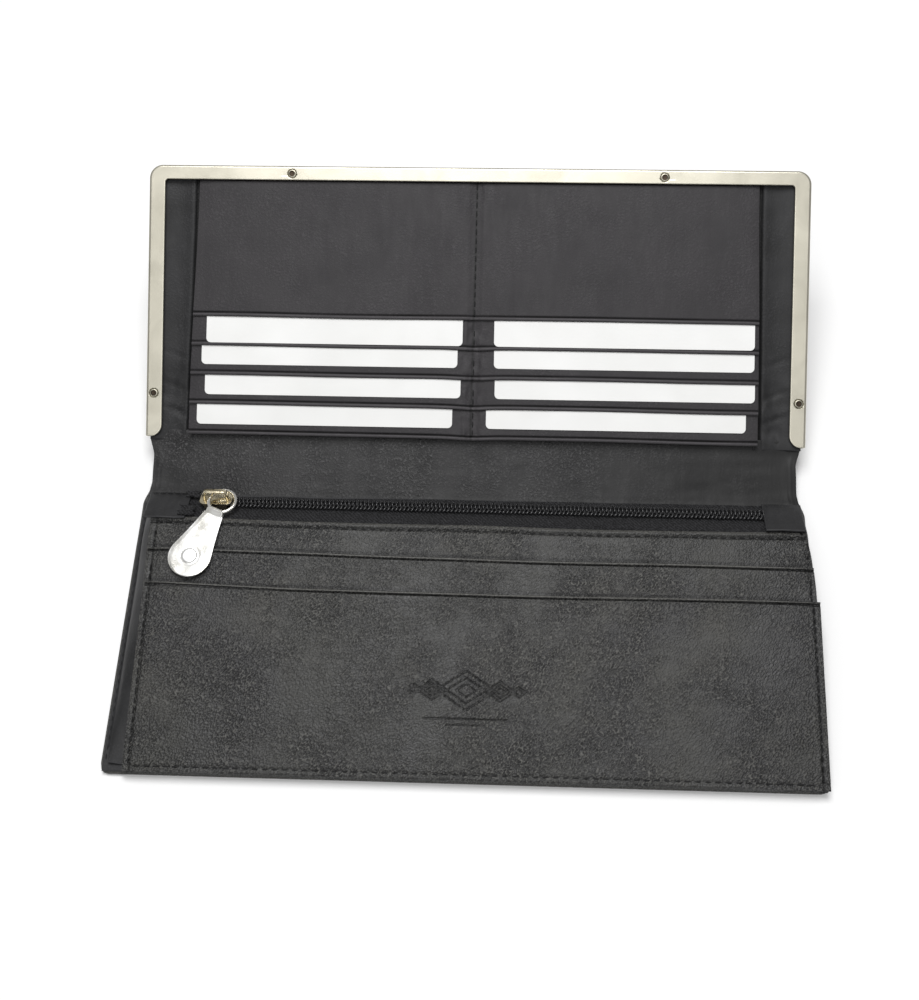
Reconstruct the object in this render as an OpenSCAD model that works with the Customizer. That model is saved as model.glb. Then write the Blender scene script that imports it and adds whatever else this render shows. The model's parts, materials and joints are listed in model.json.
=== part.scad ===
// Long frame wallet, open: a wedge-shaped leather body with a zip pocket and slip pockets,
// a two-fold spine, and a metal-framed lid with a block of eight card slots.
// X runs along the wallet, Y from the front edge towards the lid, Z up.
// The origin is the middle of the face that the body rests on.

/* [Body] */
// Overall width of the back cover
cover_w = 219.4; // [215:0.1:222]
// Distance from the origin to the front edge
front_reach = 52; // [51.5:0.1:52.5]
// Distance from the origin to the rear edge of the rearmost pocket panel
panel_rear = 28.2; // [27.9:0.1:28.3]
// Height of the rearmost pocket panel's rear edge
panel_top = 14.3; // [14:0.1:14.4]
// Left edge of the pocket panels
panel_left = -102.2; // [-103:0.1:-101.8]
// Right edge of the front pocket panel
panel_right = 109.3; // [108.9:0.1:109.5]
// Thickness of the back cover leather
cover_t = 1.6; // [1.4:0.1:1.6]
// Thickness of the two rear pocket panels
panel_t = 0.8; // [0.7:0.1:0.8]
// Thickness of the front pocket panel
front_panel_t = 1; // [0.9:0.1:1]
// Rear edge of the front pocket panel
front_panel_rear = 5.6; // [5:0.1:6.5]
// Rear edge of the middle pocket panel
middle_panel_rear = 16.8; // [16:0.1:18]

/* [Zip] */
// Distance from the origin to the rear wall of the zip pocket
pouch_rear = 39.3; // [39:0.1:39.4]
// Height of the top of that rear wall
pouch_rear_top = 9.3; // [9:0.1:9.5]
// Width of one row of the zip's coil
coil_w = 2; // [1.8:0.1:2]
// Left end of the coil
coil_left = -85.2; // [-85.3:0.1:-84]
// Right end of the coil
coil_right = 94.2; // [92:0.1:94.4]
// Middle of the slider along the zip
slider_x = -82.3; // [-82.4:0.1:-82.2]

/* [Pull] */
// Middle radius of the pull ring
ring_r = 4.3; // [4.2:0.05:4.4]
// Diameter of the ring's wire
ring_wire = 1.2; // [1:0.1:1.2]
// Direction of the pull tab in plan, from +X
tab_heading = 247.4; // [246:0.1:249]
// Distance from the ring's wire to the centre of the tab's round end
tab_l = 16.9; // [16:0.1:17]
// Radius of the tab's round end
tab_end_r = 6.9; // [6.5:0.1:7]
// Diameter of the rivet's cap
rivet_d = 5; // [4.5:0.1:5.2]

/* [Spine and lid] */
// Distance from the origin to the fold between the body and the spine
fold_y = 41; // [40.9:0.1:41.2]
// Height of that fold
fold_z = 2; // [1.9:0.05:2.1]
// Length of the spine between its two folds
spine_l = 20.3; // [20:0.1:20.6]
// Slope of the spine
spine_angle = 18.4; // [18:0.1:19]
// Slope of the lid
lid_angle = 28; // [27:0.5:29]
// Length of the lid
lid_l = 90.8; // [90.6:0.1:91]
// Depth of the lid, from the face of its frame to its back
lid_depth = 6.85; // [6.85:0.05:7.1]

/* [Frame] */
// Width of the frame's rail along the top
rail_top_w = 4.8; // [4.6:0.1:4.8]
// Width of the frame's side rails
rail_side_w = 5.5; // [5.2:0.1:5.6]
// Thickness of the frame's metal
metal_t = 0.8; // [0.7:0.1:0.8]
// Outer corner radius of the frame
frame_r = 4.5; // [4:0.1:5]
// Diameter of a screw's head
screw_head_d = 2.8; // [2.6:0.1:3]
// Distance of the top screws from the middle of the lid
screw_x = 61.7; // [58:0.1:64]
// Distance of the side screws from the lower end of the lid
screw_u = 14.5; // [12:0.1:18]

/* [Card block] */
// Half of the card block's width
block_half_w = 94; // [93.8:0.1:94]
// Thickness of a card
card_t = 0.3; // [0.25:0.05:0.3]
// Thickness of a card pocket's leather
pocket_t = 0.35; // [0.3:0.05:0.35]
// Slope of the cards in the lid
card_tilt = 2.8; // [2.6:0.1:2.8]

/* [Hidden] */
$fn = 64;

leather = [0.17, 0.17, 0.18];
leather_smooth = [0.24, 0.23, 0.25];
lining_colour = [0.13, 0.13, 0.14];
board_colour = [0.55, 0.48, 0.38];
tape_colour = [0.08, 0.08, 0.09];
nickel = [0.84, 0.81, 0.72];
pale_gold = [0.82, 0.74, 0.56];
dark_metal = [0.4, 0.39, 0.37];
silver_leather = [0.86, 0.86, 0.85];
card_white = [0.96, 0.96, 0.94];

// Body: the lower faces of the layers, from the bottom up
edge_gap = 0.9;
cover_rear = fold_y - edge_gap;
board_t = 1.3;
lining_t = 0.6;
board_front = -42.5;
board_rear = 38;
lining_side = cover_w / 2 - 0.5;
lining_top = cover_t + board_t + lining_t;
panel_front_z = cover_t + lining_t;
panel_slope = (panel_top - panel_t - panel_front_z) / (panel_rear + front_reach);
upper_panel_right = panel_right - 1.1;
pouch_wall_t = 0.8;
pouch_front_y = -30.5;
pouch_low_rear = 5.5;
pouch_lip = 0.65;
pouch_left = panel_left + 1.2;
pouch_right = upper_panel_right - 1.6;
gusset_t = 0.6;
gusset_front = -40;

function panel_under(y) = panel_front_z + (y + front_reach) * panel_slope;

// Zip: t runs from the pocket panel back to the rear wall, n out of the tape
zip_front_z = panel_top - 0.35;
zip_run = pouch_rear - panel_rear;
zip_fall = zip_front_z - pouch_rear_top;
zip_angle = atan2(zip_fall, zip_run);
zip_w = norm([zip_run, zip_fall]);
tape_t = 0.5;
tape_end_gap = 0.25;
coil_t = 8;
coil_h = 1.3;
coil_gap = 0.2;
tape_gap = 1.6;
end_tab_t = 0.7;

slider_l = 10.5;
slider_half_w = 2.9;
slider_low = -1.6;
slider_plate_t = 0.8;
slider_top = 2.2;
slider_flange_w = 0.6;
slider_post_d = 1.2;
bridge_l = 8.4;
bridge_w = 1.8;
bridge_forward = 0.5;
bridge_leg = 0.9;
bridge_h = 2.9;
bridge_top_t = 0.8;

// Pull: the ring's centre, and the tab hung on its front
ring_centre = [-79.8, 34.4, 14.76];
ring_tilt = -8;
tab_dir = [cos(tab_heading), sin(tab_heading)];
tab_root = ring_centre + ring_r * [tab_dir[0], tab_dir[1], tab_dir[1] * tan(ring_tilt)];
tab_slope = 2.5;
tab_layer_t = 0.5;
tab_neck_w = 6;
tab_loop_r = 1.5;
tab_loop_bore = 1;
tab_loop_w = 3.2;
tab_drop = 0.75;
rivet_cap_t = 0.5;

// Spine: s runs from the lower fold to the upper one
spine_side = 107.6;
spine_lining_t = 0.5;
spine_cover_t = 1.2;
spine_outer_drop = 2.4;

// Lid: u runs from the spine to the top rail, n out of the frame's face
fold_back = 1.2;
fold_deep = 2;
fold2_y = fold_y + spine_l * cos(spine_angle);
fold2_z = fold_z + spine_l * sin(spine_angle);
lid_y = fold2_y + fold_back * cos(lid_angle) - fold_deep * sin(lid_angle);
lid_z = fold2_z + fold_back * sin(lid_angle) + fold_deep * cos(lid_angle);
lid_half_w = cover_w / 2;
inside_half_w = lid_half_w - metal_t - 0.1;
inside_l = lid_l - metal_t - 0.1;
lip_w = 3.6;
lid_cover_t = 1;
lid_lining_t = 0.4;
lid_cover_n = metal_t - lid_depth;
lid_lining_n = lid_cover_n + lid_cover_t;
lid_lining_top = lid_lining_n + lid_lining_t;
rail_inner_x = lid_half_w - rail_side_w;
rail_end_r = 4;
lid_gusset_in = block_half_w + 0.4;
screw_edge = 2.6;
screw_shank_d = 1.4;
screw_head_t = 0.6;
screw_blind = 0.4;

// Card block: each level is one pocket panel with the cards under it
level = pocket_t + card_t + 0.05;
seam_w = 0.8;
block_top_u = 86;
base_top_u = 87.3;
front_n = 0.9;
mouth_u = [40.3, 30.6, 20.8, 11];
pocket_top_u = [block_top_u, 80, 71, 61];
card_w = 85.6;
card_h = 54;
card_r = 3;
card_u = [31.6, 24.4, 14.4, 4.5];
card_left_x = [-89.4, -91, -89.8, -92.4];
card_right_x = [6.6, 6.7, 7.1, 4.4];

// A profile in Y and Z, extruded from x0 to x1
module across(x0, x1, points) {
    translate([x0, 0, 0]) rotate([90, 0, 90]) linear_extrude(x1 - x0) polygon(points);
}

// A layer between y0 and y1 that starts above the slope of the pocket panels by rise
module sloped_layer(x0, x1, y0, y1, rise, t) {
    across(x0, x1, [
        [y0, panel_under(y0) + rise], [y1, panel_under(y1) + rise],
        [y1, panel_under(y1) + rise + t], [y0, panel_under(y0) + rise + t]
    ]);
}

// A rectangle from corner a to corner b with round corners
module round_rect(a, b, r) {
    translate([a[0] + r, a[1]]) square([b[0] - a[0] - 2 * r, b[1] - a[1]]);
    translate([a[0], a[1] + r]) square([b[0] - a[0], b[1] - a[1] - 2 * r]);
    for (x = [a[0] + r, b[0] - r], y = [a[1] + r, b[1] - r]) translate([x, y]) circle(r);
}

module on_zip() {
    translate([0, panel_rear, zip_front_z]) rotate([-zip_angle, 0, 0]) children();
}

module on_spine() {
    translate([0, fold_y, fold_z]) rotate([spine_angle, 0, 0]) children();
}

module on_lid() {
    translate([0, lid_y, lid_z]) rotate([lid_angle, 0, 0]) children();
}

// The card block's own slope: its origin is on the front of the first pocket's mouth
module on_cards() {
    on_lid() translate([0, mouth_u[0], front_n]) rotate([-card_tilt, 0, 0]) children();
}

module on_tab() {
    translate(tab_root) rotate([0, 0, tab_heading]) rotate([0, tab_slope, 0]) children();
}

module slab(x0, x1, y0, y1, z0, z1) {
    translate([x0, y0, z0]) cube([x1 - x0, y1 - y0, z1 - z0]);
}

// ---- body ----

module back_cover() color(leather) linear_extrude(cover_t) difference() {
    round_rect([-cover_w / 2, -front_reach], [cover_w / 2, fold_y + 10], 3);
    translate([-cover_w, cover_rear]) square([2 * cover_w, 20]);
}

module back_board() color(board_colour)
    slab(-106, 106, board_front + 0.1, board_rear, cover_t, cover_t + board_t);

module back_lining() color(lining_colour) across(-lining_side, lining_side, [
    [-front_reach + 0.4, cover_t], [board_front - 0.4, cover_t],
    [board_front, cover_t + board_t], [cover_rear, cover_t + board_t],
    [cover_rear, lining_top], [board_front - 0.2, lining_top],
    [board_front - 0.6, panel_front_z - 0.02], [-front_reach + 0.4, panel_front_z - 0.02]
]);

// A leather wall from the lining near the cover's edge up to the underside of the panels
module body_gusset(foot_x, head_x) {
    gusset_rear = pouch_rear - 0.5;
    head_rear = panel_rear - 0.5;
    foot_z = lining_top + 0.02;
    module corner(x, y, z) {
        translate([foot_x > 0 ? x : x - gusset_t, y, z]) cube([gusset_t, 0.5, 0.1]);
    }
    hull() {
        corner(foot_x, gusset_front, foot_z);
        corner(foot_x, gusset_rear, foot_z);
        corner(head_x, head_rear, panel_under(head_rear) - 0.15);
        corner(head_x, gusset_rear, pouch_rear_top - 1);
    }
    hull() {
        corner(foot_x, gusset_front, foot_z);
        corner(head_x, gusset_front, panel_under(gusset_front) - 0.15);
        corner(head_x, head_rear, panel_under(head_rear) - 0.15);
    }
}

module body_gusset_left() color(leather) body_gusset(-108, panel_left - 0.1);

module body_gusset_right() color(leather) body_gusset(108.2, upper_panel_right - 0.9);

module pouch_back() color(lining_colour) across(pouch_left, pouch_right, [
    [pouch_front_y, lining_top + 0.02], [pouch_rear, pouch_low_rear],
    [pouch_rear, pouch_rear_top - pouch_lip],
    [pouch_rear - pouch_wall_t, pouch_rear_top - pouch_lip],
    [pouch_rear - pouch_wall_t, pouch_low_rear + pouch_wall_t],
    [pouch_front_y, lining_top + 0.02 + pouch_wall_t]
]);

module pouch_front() color(lining_colour)
    sloped_layer(pouch_left, pouch_right, pouch_front_y + 0.1, panel_rear,
        -pouch_wall_t - 0.02, pouch_wall_t);

// The triangle of leather that closes one end of the zip pocket
module pouch_gusset(x) {
    z0 = lining_top + 0.04 + pouch_wall_t;
    y0 = pouch_front_y + 8;
    floor_slope = (pouch_low_rear - lining_top) / (pouch_rear - pouch_front_y);
    across(x, x + gusset_t, [
        [y0, z0 + 8 * floor_slope + 0.06],
        [pouch_rear - pouch_wall_t - 0.1, z0 + (pouch_rear - pouch_front_y) * floor_slope + 0.06],
        [pouch_rear - pouch_wall_t - 0.1, pouch_rear_top - tape_t - 0.5],
        [panel_rear, panel_under(panel_rear) - pouch_wall_t - 0.1],
        [y0, panel_under(y0) - pouch_wall_t - 0.1]
    ]);
}

module pouch_gusset_left() color(leather) pouch_gusset(pouch_left);

module pouch_gusset_right() color(leather) pouch_gusset(pouch_right - gusset_t);

module pocket_panel_rear() color(leather)
    sloped_layer(panel_left, upper_panel_right, -front_reach, panel_rear, 0, panel_t);

module pocket_panel_middle() color(leather)
    sloped_layer(panel_left, upper_panel_right, -front_reach, middle_panel_rear,
        panel_t, panel_t);

module pocket_panel_front() color(leather)
    sloped_layer(panel_left, panel_right, -front_reach, front_panel_rear,
        2 * panel_t, front_panel_t);

// ---- zip ----

module zip_tape(t0, t1) {
    on_zip() slab(pouch_left, pouch_right, t0, t1, -tape_t, 0);
}

module zip_tape_front() color(tape_colour) zip_tape(tape_end_gap, coil_t - tape_gap / 2);

module zip_tape_rear() color(tape_colour) zip_tape(coil_t + tape_gap / 2, zip_w - 0.1);

module zip_coil(side) {
    t0 = side > 0 ? coil_t + coil_gap / 2 : coil_t - coil_gap / 2 - coil_w;
    on_zip() slab(coil_left, coil_right, t0, t0 + coil_w, 0.02, coil_h);
}

module zip_coil_front() color(tape_colour) zip_coil(-1);

module zip_coil_rear() color(tape_colour) zip_coil(1);

// Leather tab over one end of the zip, with a block under it as high as the coil
module zip_tab(x0, x1) {
    on_zip() slab(x0, x1, tape_end_gap + 0.3, zip_w - 0.1, 0.02, coil_h * 0.4 + end_tab_t);
}

module zip_tab_left() color(leather) zip_tab(pouch_left, -91.2);

module zip_tab_right() color(leather) zip_tab(coil_right + 0.2, pouch_right);

// ---- slider and pull ----

module slider_body() color(pale_gold) on_zip() translate([slider_x, coil_t, 0]) {
    for (z = [slider_low, slider_top - slider_plate_t]) translate([0, 0, z])
        linear_extrude(slider_plate_t)
            round_rect([-slider_l / 2, -slider_half_w], [slider_l / 2, slider_half_w], 1.6);
    for (side = [-1, 1])
        slab(-slider_l / 2 + 1.6, slider_l / 2 - 1.6,
            side > 0 ? slider_half_w - slider_flange_w : -slider_half_w,
            side > 0 ? slider_half_w : -slider_half_w + slider_flange_w,
            0.1, slider_top - 0.1);
    translate([-slider_l / 2 + 1.1, 0, slider_low + 0.1])
        cylinder(d = slider_post_d, h = slider_top - slider_low - 0.2);
}

module slider_bridge() color(pale_gold) on_zip()
    translate([slider_x, coil_t - bridge_forward, slider_top])
    rotate([90, 0, 0]) translate([0, 0, -bridge_w / 2]) linear_extrude(bridge_w)
        difference() {
            round_rect([-bridge_l / 2, -bridge_h], [bridge_l / 2, bridge_h + bridge_top_t], 1.8);
            translate([-bridge_l / 2 + bridge_leg, -bridge_h])
                square([bridge_l - 2 * bridge_leg, 2 * bridge_h]);
            translate([-bridge_l, -2 * bridge_h]) square([2 * bridge_l, 2 * bridge_h]);
        }

module pull_ring() color(nickel) translate(ring_centre) rotate([ring_tilt, 0, 0])
    rotate_extrude() translate([ring_r, 0]) circle(d = ring_wire);

// One layer of the tab: a neck that widens to a round end, level with the ring's wire
module tab_layer(z0, inset) {
    start = tab_loop_r - 0.2;
    end_r = tab_end_r - inset;
    flank = asin((tab_end_r - tab_neck_w / 2) / tab_l);
    translate([0, 0, z0]) linear_extrude(tab_layer_t) difference() {
        union() {
            translate([tab_l, 0]) circle(end_r);
            polygon([
                [start, -tab_neck_w / 2 + inset], [tab_l - end_r * sin(flank), -end_r * cos(flank)],
                [tab_l, 0],
                [tab_l - end_r * sin(flank), end_r * cos(flank)], [start, tab_neck_w / 2 - inset]
            ]);
        }
        translate([tab_l, 0]) circle(d = 1.6);
    }
}

module pull_tab_face() color(silver_leather) on_tab() difference() {
    union() {
        tab_layer(-tab_drop + tab_layer_t, 0);
        rotate([90, 0, 0]) cylinder(r = tab_loop_r, h = tab_loop_w, center = true);
    }
    rotate([90, 0, 0]) cylinder(r = tab_loop_bore, h = tab_loop_w + 10, center = true);
    slab(0, tab_loop_r + 0.4, -tab_loop_w, tab_loop_w, -tab_loop_r, -tab_drop + tab_layer_t);
}

module pull_tab_backing() color(tape_colour) on_tab() tab_layer(-tab_drop, 0.1);

module pull_rivet() color(nickel) on_tab() translate([tab_l, 0, 0]) {
    translate([0, 0, -tab_drop + 2 * tab_layer_t]) cylinder(d = rivet_d, h = rivet_cap_t);
    translate([0, 0, -tab_drop]) cylinder(d = 1.5, h = 2 * tab_layer_t + 0.1);
}

// ---- spine ----

module spine_lining() color(lining_colour) on_spine()
    slab(-spine_side, spine_side, edge_gap, spine_l - edge_gap, -spine_lining_t, 0);

module spine_cover() color(leather) on_spine() across(-spine_side, spine_side, [
    [edge_gap, -spine_lining_t - 0.02],
    [spine_l - edge_gap, -spine_lining_t - spine_outer_drop],
    [spine_l - edge_gap, -spine_lining_t - spine_cover_t - spine_outer_drop],
    [edge_gap, -spine_lining_t - spine_cover_t]
]);

// ---- lid ----

module at_screws() {
    for (side = [-1, 1]) {
        translate([side * screw_x, lid_l - screw_edge, 0]) children();
        translate([side * (lid_half_w - screw_edge), screw_u, 0]) children();
    }
}

module screw_holes() {
    translate([0, 0, lid_cover_n - 0.01]) at_screws()
        cylinder(d = screw_shank_d + 0.2, h = lid_depth);
}

// One flat layer of the lid, inside the frame, from n to n + t
module lid_layer(n, t) {
    on_lid() difference() {
        slab(-inside_half_w, inside_half_w, 0, inside_l, n, n + t);
        screw_holes();
    }
}

module lid_cover() color(leather) lid_layer(lid_cover_n, lid_cover_t);

module lid_lining() color(lining_colour) lid_layer(lid_lining_n, lid_lining_t);

// The frame's outline in plan: two side rails and a top rail of the given widths.
// The rails' free ends are round on the inside.
module frame_outline(side_w, top_w, end_r) {
    difference() {
        round_rect([-lid_half_w, -20], [lid_half_w, lid_l], frame_r);
        round_rect([-lid_half_w + side_w, -20], [lid_half_w - side_w, lid_l - top_w], 1);
        translate([-lid_half_w - 1, -21]) square([2 * lid_half_w + 2, 21 + end_r]);
    }
    for (turn = [0, 1]) mirror([turn, 0]) translate([lid_half_w - side_w, 0]) intersection() {
        square([side_w, end_r + 1]);
        union() {
            translate([end_r, end_r]) circle(end_r);
            translate([end_r, 0]) square([side_w, end_r + 1]);
            translate([0, end_r]) square([side_w, 2]);
        }
    }
}

module frame_plate() color(nickel) on_lid() difference() {
    translate([0, 0, -metal_t]) linear_extrude(metal_t)
        frame_outline(rail_side_w, rail_top_w, rail_end_r);
    at_screws() translate([0, 0, -screw_head_t]) cylinder(d = screw_head_d + 0.1, h = 1);
    at_screws() translate([0, 0, -lid_depth / 2]) cylinder(d = screw_shank_d + 0.1, h = lid_depth);
}

module frame_channel() color(nickel) on_lid() difference() {
    union() {
        translate([0, 0, -lid_depth]) linear_extrude(lid_depth - metal_t)
            frame_outline(metal_t, metal_t, 0.1);
        translate([0, 0, -lid_depth]) linear_extrude(metal_t - 0.02)
            frame_outline(lip_w, lip_w, 2);
    }
    at_screws() translate([0, 0, screw_blind - lid_depth])
        cylinder(d = screw_shank_d + 0.1, h = lid_depth);
}

module frame_screws() color(dark_metal) on_lid() at_screws() {
    translate([0, 0, -screw_head_t]) difference() {
        cylinder(d = screw_head_d, h = screw_head_t - 0.1);
        translate([0, 0, 0.3]) cylinder(d = 1, h = 1);
    }
    translate([0, 0, screw_blind - lid_depth])
        cylinder(d = screw_shank_d, h = lid_depth - screw_head_t - screw_blind + 0.1);
}

// A strip folded over at the rail: the upper leaf shows beside the card block
module lid_gusset(side) {
    leaf_t = 0.5;
    upper_n = -1.6;
    on_lid() difference() {
        scale([side, 1, 1]) translate([0, inside_l - 0.4, 0]) rotate([90, 0, 0])
            linear_extrude(inside_l - 1.4) polygon([
                [lid_gusset_in, upper_n], [lid_gusset_in, upper_n - leaf_t],
                [inside_half_w - leaf_t, upper_n - leaf_t],
                [inside_half_w - leaf_t, lid_lining_top + 0.02 + leaf_t],
                [lid_gusset_in + 2, lid_lining_top + 0.02 + leaf_t],
                [lid_gusset_in + 2, lid_lining_top + 0.02],
                [inside_half_w, lid_lining_top + 0.02], [inside_half_w, upper_n]
            ]);
        screw_holes();
    }
}

module lid_gusset_left() color(leather_smooth) lid_gusset(-1);

module lid_gusset_right() color(leather_smooth) lid_gusset(1);

// ---- card block ----

module card_base() color(leather_smooth) on_cards() slab(-block_half_w, block_half_w,
    -mouth_u[0] + 0.6, base_top_u - mouth_u[0], -4 * level - pocket_t, -4 * level);

// Pocket k's panel, and the seams at its ends and middle that close it
module card_pocket(k) {
    y0 = mouth_u[k] - mouth_u[0];
    y1 = pocket_top_u[k] - mouth_u[0];
    top = -k * level;
    seam_top = top - pocket_t;
    on_cards() {
        slab(-block_half_w, block_half_w, y0, y1, seam_top, top);
        for (x = [-block_half_w, -seam_w / 2, block_half_w - seam_w])
            slab(x, x + seam_w, y0, y1 - (k == 0 ? 6 : 0), top - level, seam_top + 0.01);
    }
}

module card_pocket_1() color(leather_smooth) card_pocket(0);

module card_pocket_2() color(leather_smooth) card_pocket(1);

module card_pocket_3() color(leather_smooth) card_pocket(2);

module card_pocket_4() color(leather_smooth) card_pocket(3);

// The card in row k, with its left edge at x
module card(k, x) {
    n = -k * level - pocket_t - card_t - 0.025;
    on_cards() translate([x, card_u[k] - mouth_u[0], n])
        linear_extrude(card_t) round_rect([0, 0], [card_w, card_h], card_r);
}

module card_left_1() color(card_white) card(0, card_left_x[0]);

module card_left_2() color(card_white) card(1, card_left_x[1]);

module card_left_3() color(card_white) card(2, card_left_x[2]);

module card_left_4() color(card_white) card(3, card_left_x[3]);

module card_right_1() color(card_white) card(0, card_right_x[0]);

module card_right_2() color(card_white) card(1, card_right_x[1]);

module card_right_3() color(card_white) card(2, card_right_x[2]);

module card_right_4() color(card_white) card(3, card_right_x[3]);

back_cover();
back_board();
back_lining();
body_gusset_left();
body_gusset_right();
pouch_back();
pouch_front();
pouch_gusset_left();
pouch_gusset_right();
pocket_panel_rear();
pocket_panel_middle();
pocket_panel_front();
zip_tape_front();
zip_tape_rear();
zip_coil_front();
zip_coil_rear();
zip_tab_left();
zip_tab_right();
spine_cover();
spine_lining();
lid_cover();
lid_lining();
frame_channel();
frame_plate();
frame_screws();
lid_gusset_left();
lid_gusset_right();
card_base();
card_pocket_1();
card_pocket_2();
card_pocket_3();
card_pocket_4();
card_left_1();
card_left_2();
card_left_3();
card_left_4();
card_right_1();
card_right_2();
card_right_3();
card_right_4();
slider_body();
slider_bridge();
pull_ring();
pull_tab_face();
pull_tab_backing();
pull_rivet();
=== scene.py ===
import json
import math

import bmesh
import bpy
import numpy as np
from mathutils import Matrix, Vector

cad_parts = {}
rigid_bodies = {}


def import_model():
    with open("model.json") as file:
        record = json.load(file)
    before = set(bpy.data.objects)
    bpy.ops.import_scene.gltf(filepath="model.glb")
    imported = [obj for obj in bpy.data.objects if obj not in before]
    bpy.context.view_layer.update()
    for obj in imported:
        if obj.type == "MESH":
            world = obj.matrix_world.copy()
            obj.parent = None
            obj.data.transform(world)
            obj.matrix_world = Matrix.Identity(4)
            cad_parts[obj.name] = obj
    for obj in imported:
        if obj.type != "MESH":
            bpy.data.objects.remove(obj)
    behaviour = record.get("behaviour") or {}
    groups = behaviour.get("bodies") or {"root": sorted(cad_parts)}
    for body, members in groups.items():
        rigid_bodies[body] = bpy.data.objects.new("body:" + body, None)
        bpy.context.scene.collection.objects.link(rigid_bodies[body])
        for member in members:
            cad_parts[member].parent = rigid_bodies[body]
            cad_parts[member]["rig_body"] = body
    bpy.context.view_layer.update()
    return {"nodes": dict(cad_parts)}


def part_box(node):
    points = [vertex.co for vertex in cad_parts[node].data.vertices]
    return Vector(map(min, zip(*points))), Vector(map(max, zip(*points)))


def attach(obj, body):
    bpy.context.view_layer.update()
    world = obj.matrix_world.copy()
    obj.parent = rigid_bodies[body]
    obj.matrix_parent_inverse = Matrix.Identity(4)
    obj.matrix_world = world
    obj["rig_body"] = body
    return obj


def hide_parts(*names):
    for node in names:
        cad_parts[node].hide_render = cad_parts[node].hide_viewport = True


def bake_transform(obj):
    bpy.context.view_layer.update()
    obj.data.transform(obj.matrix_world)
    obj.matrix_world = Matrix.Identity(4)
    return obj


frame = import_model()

# Lengths are in millimetres in the frame's own axes, and MM turns them into metres.
MM = 0.001

# ---- sizes of the CAD nodes ----

COVER_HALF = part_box("back_cover")[1].x / MM
FRONT = -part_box("back_cover")[0].y / MM
COVER_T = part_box("back_cover")[1].z / MM
PANEL_FOOT = COVER_T + 0.6
PANEL_REAR = 28.2
PANEL_TOP = 14.3
PANEL_T = 0.8
PANEL_SLOPE = (PANEL_TOP - PANEL_T - PANEL_FOOT) / (PANEL_REAR + FRONT)
LINING_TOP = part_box("back_lining")[1].z / MM
POUCH_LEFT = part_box("pouch_front")[0].x / MM
POUCH_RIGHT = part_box("pouch_front")[1].x / MM
COIL_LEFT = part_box("zip_coil_front")[0].x / MM
COIL_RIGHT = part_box("zip_coil_front")[1].x / MM
LID_L = 90.8
LID_DEPTH = 6.85
LID_HALF = 108.5
# Lower and upper edges, up the lid, of the four card pockets and of the panel under them.
MOUTHS = [40.3, 30.6, 20.8, 11.0, 0.9]
POCKET_TOPS = [86.0, 80.0, 71.0, 61.0, 87.3]
# The face of each card pocket lies this much above the next one's.
LEVEL = 0.7
POCKET_T = 0.35
RING_CENTRE = np.array([-79.8, 34.4, 14.76])
RING_R = 4.3
RING_WIRE_R = 0.6
RING_TILT = -8
TAB_HEADING = 247.4
TAB_SLOPE = 2.5
TAB_L = 16.9
TAB_END_R = 6.9
TAB_NECK = 3.0
LOOP_R = 1.32
CAP_FOOT = 0.26
SCREWS = [(-61.7, 88.2), (61.7, 88.2), (-107.1, 14.5), (107.1, 14.5)]

# ---- camera and light ----

CAMERA_AT = (14.17, -156.24, 392.30)
CAMERA_RIGHT = (0.99895, 0.03685, -0.02717)
CAMERA_UP = (-0.02044, 0.88998, 0.45554)
CAMERA_LOOK = (-0.04096, 0.45451, -0.88980)
LENS = 47.55


def linked(name, data):
    """A new object in the scene."""
    made = bpy.data.objects.new(name, data)
    bpy.context.scene.collection.objects.link(made)
    return made


def make_camera():
    data = bpy.data.cameras.new("camera")
    data.lens = LENS
    data.sensor_width = 36
    data.clip_start = 0.01
    camera = linked("camera", data)
    axes = [Vector(CAMERA_RIGHT), Vector(CAMERA_UP), -Vector(CAMERA_LOOK)]
    turn = Matrix([[axis[row] for axis in axes] for row in range(3)]).to_4x4()
    camera.matrix_world = Matrix.Translation(Vector(CAMERA_AT) * MM) @ turn
    bpy.context.scene.camera = camera


def area_light(name, at, size, power, aim=(0, 0.03, 0.01)):
    data = bpy.data.lights.new(name, "AREA")
    data.size = size
    data.energy = power
    light = linked(name, data)
    light.location = at
    light.rotation_euler = (Vector(aim) - Vector(at)).to_track_quat("-Z", "Y").to_euler()


make_camera()

# ---- materials ----


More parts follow.
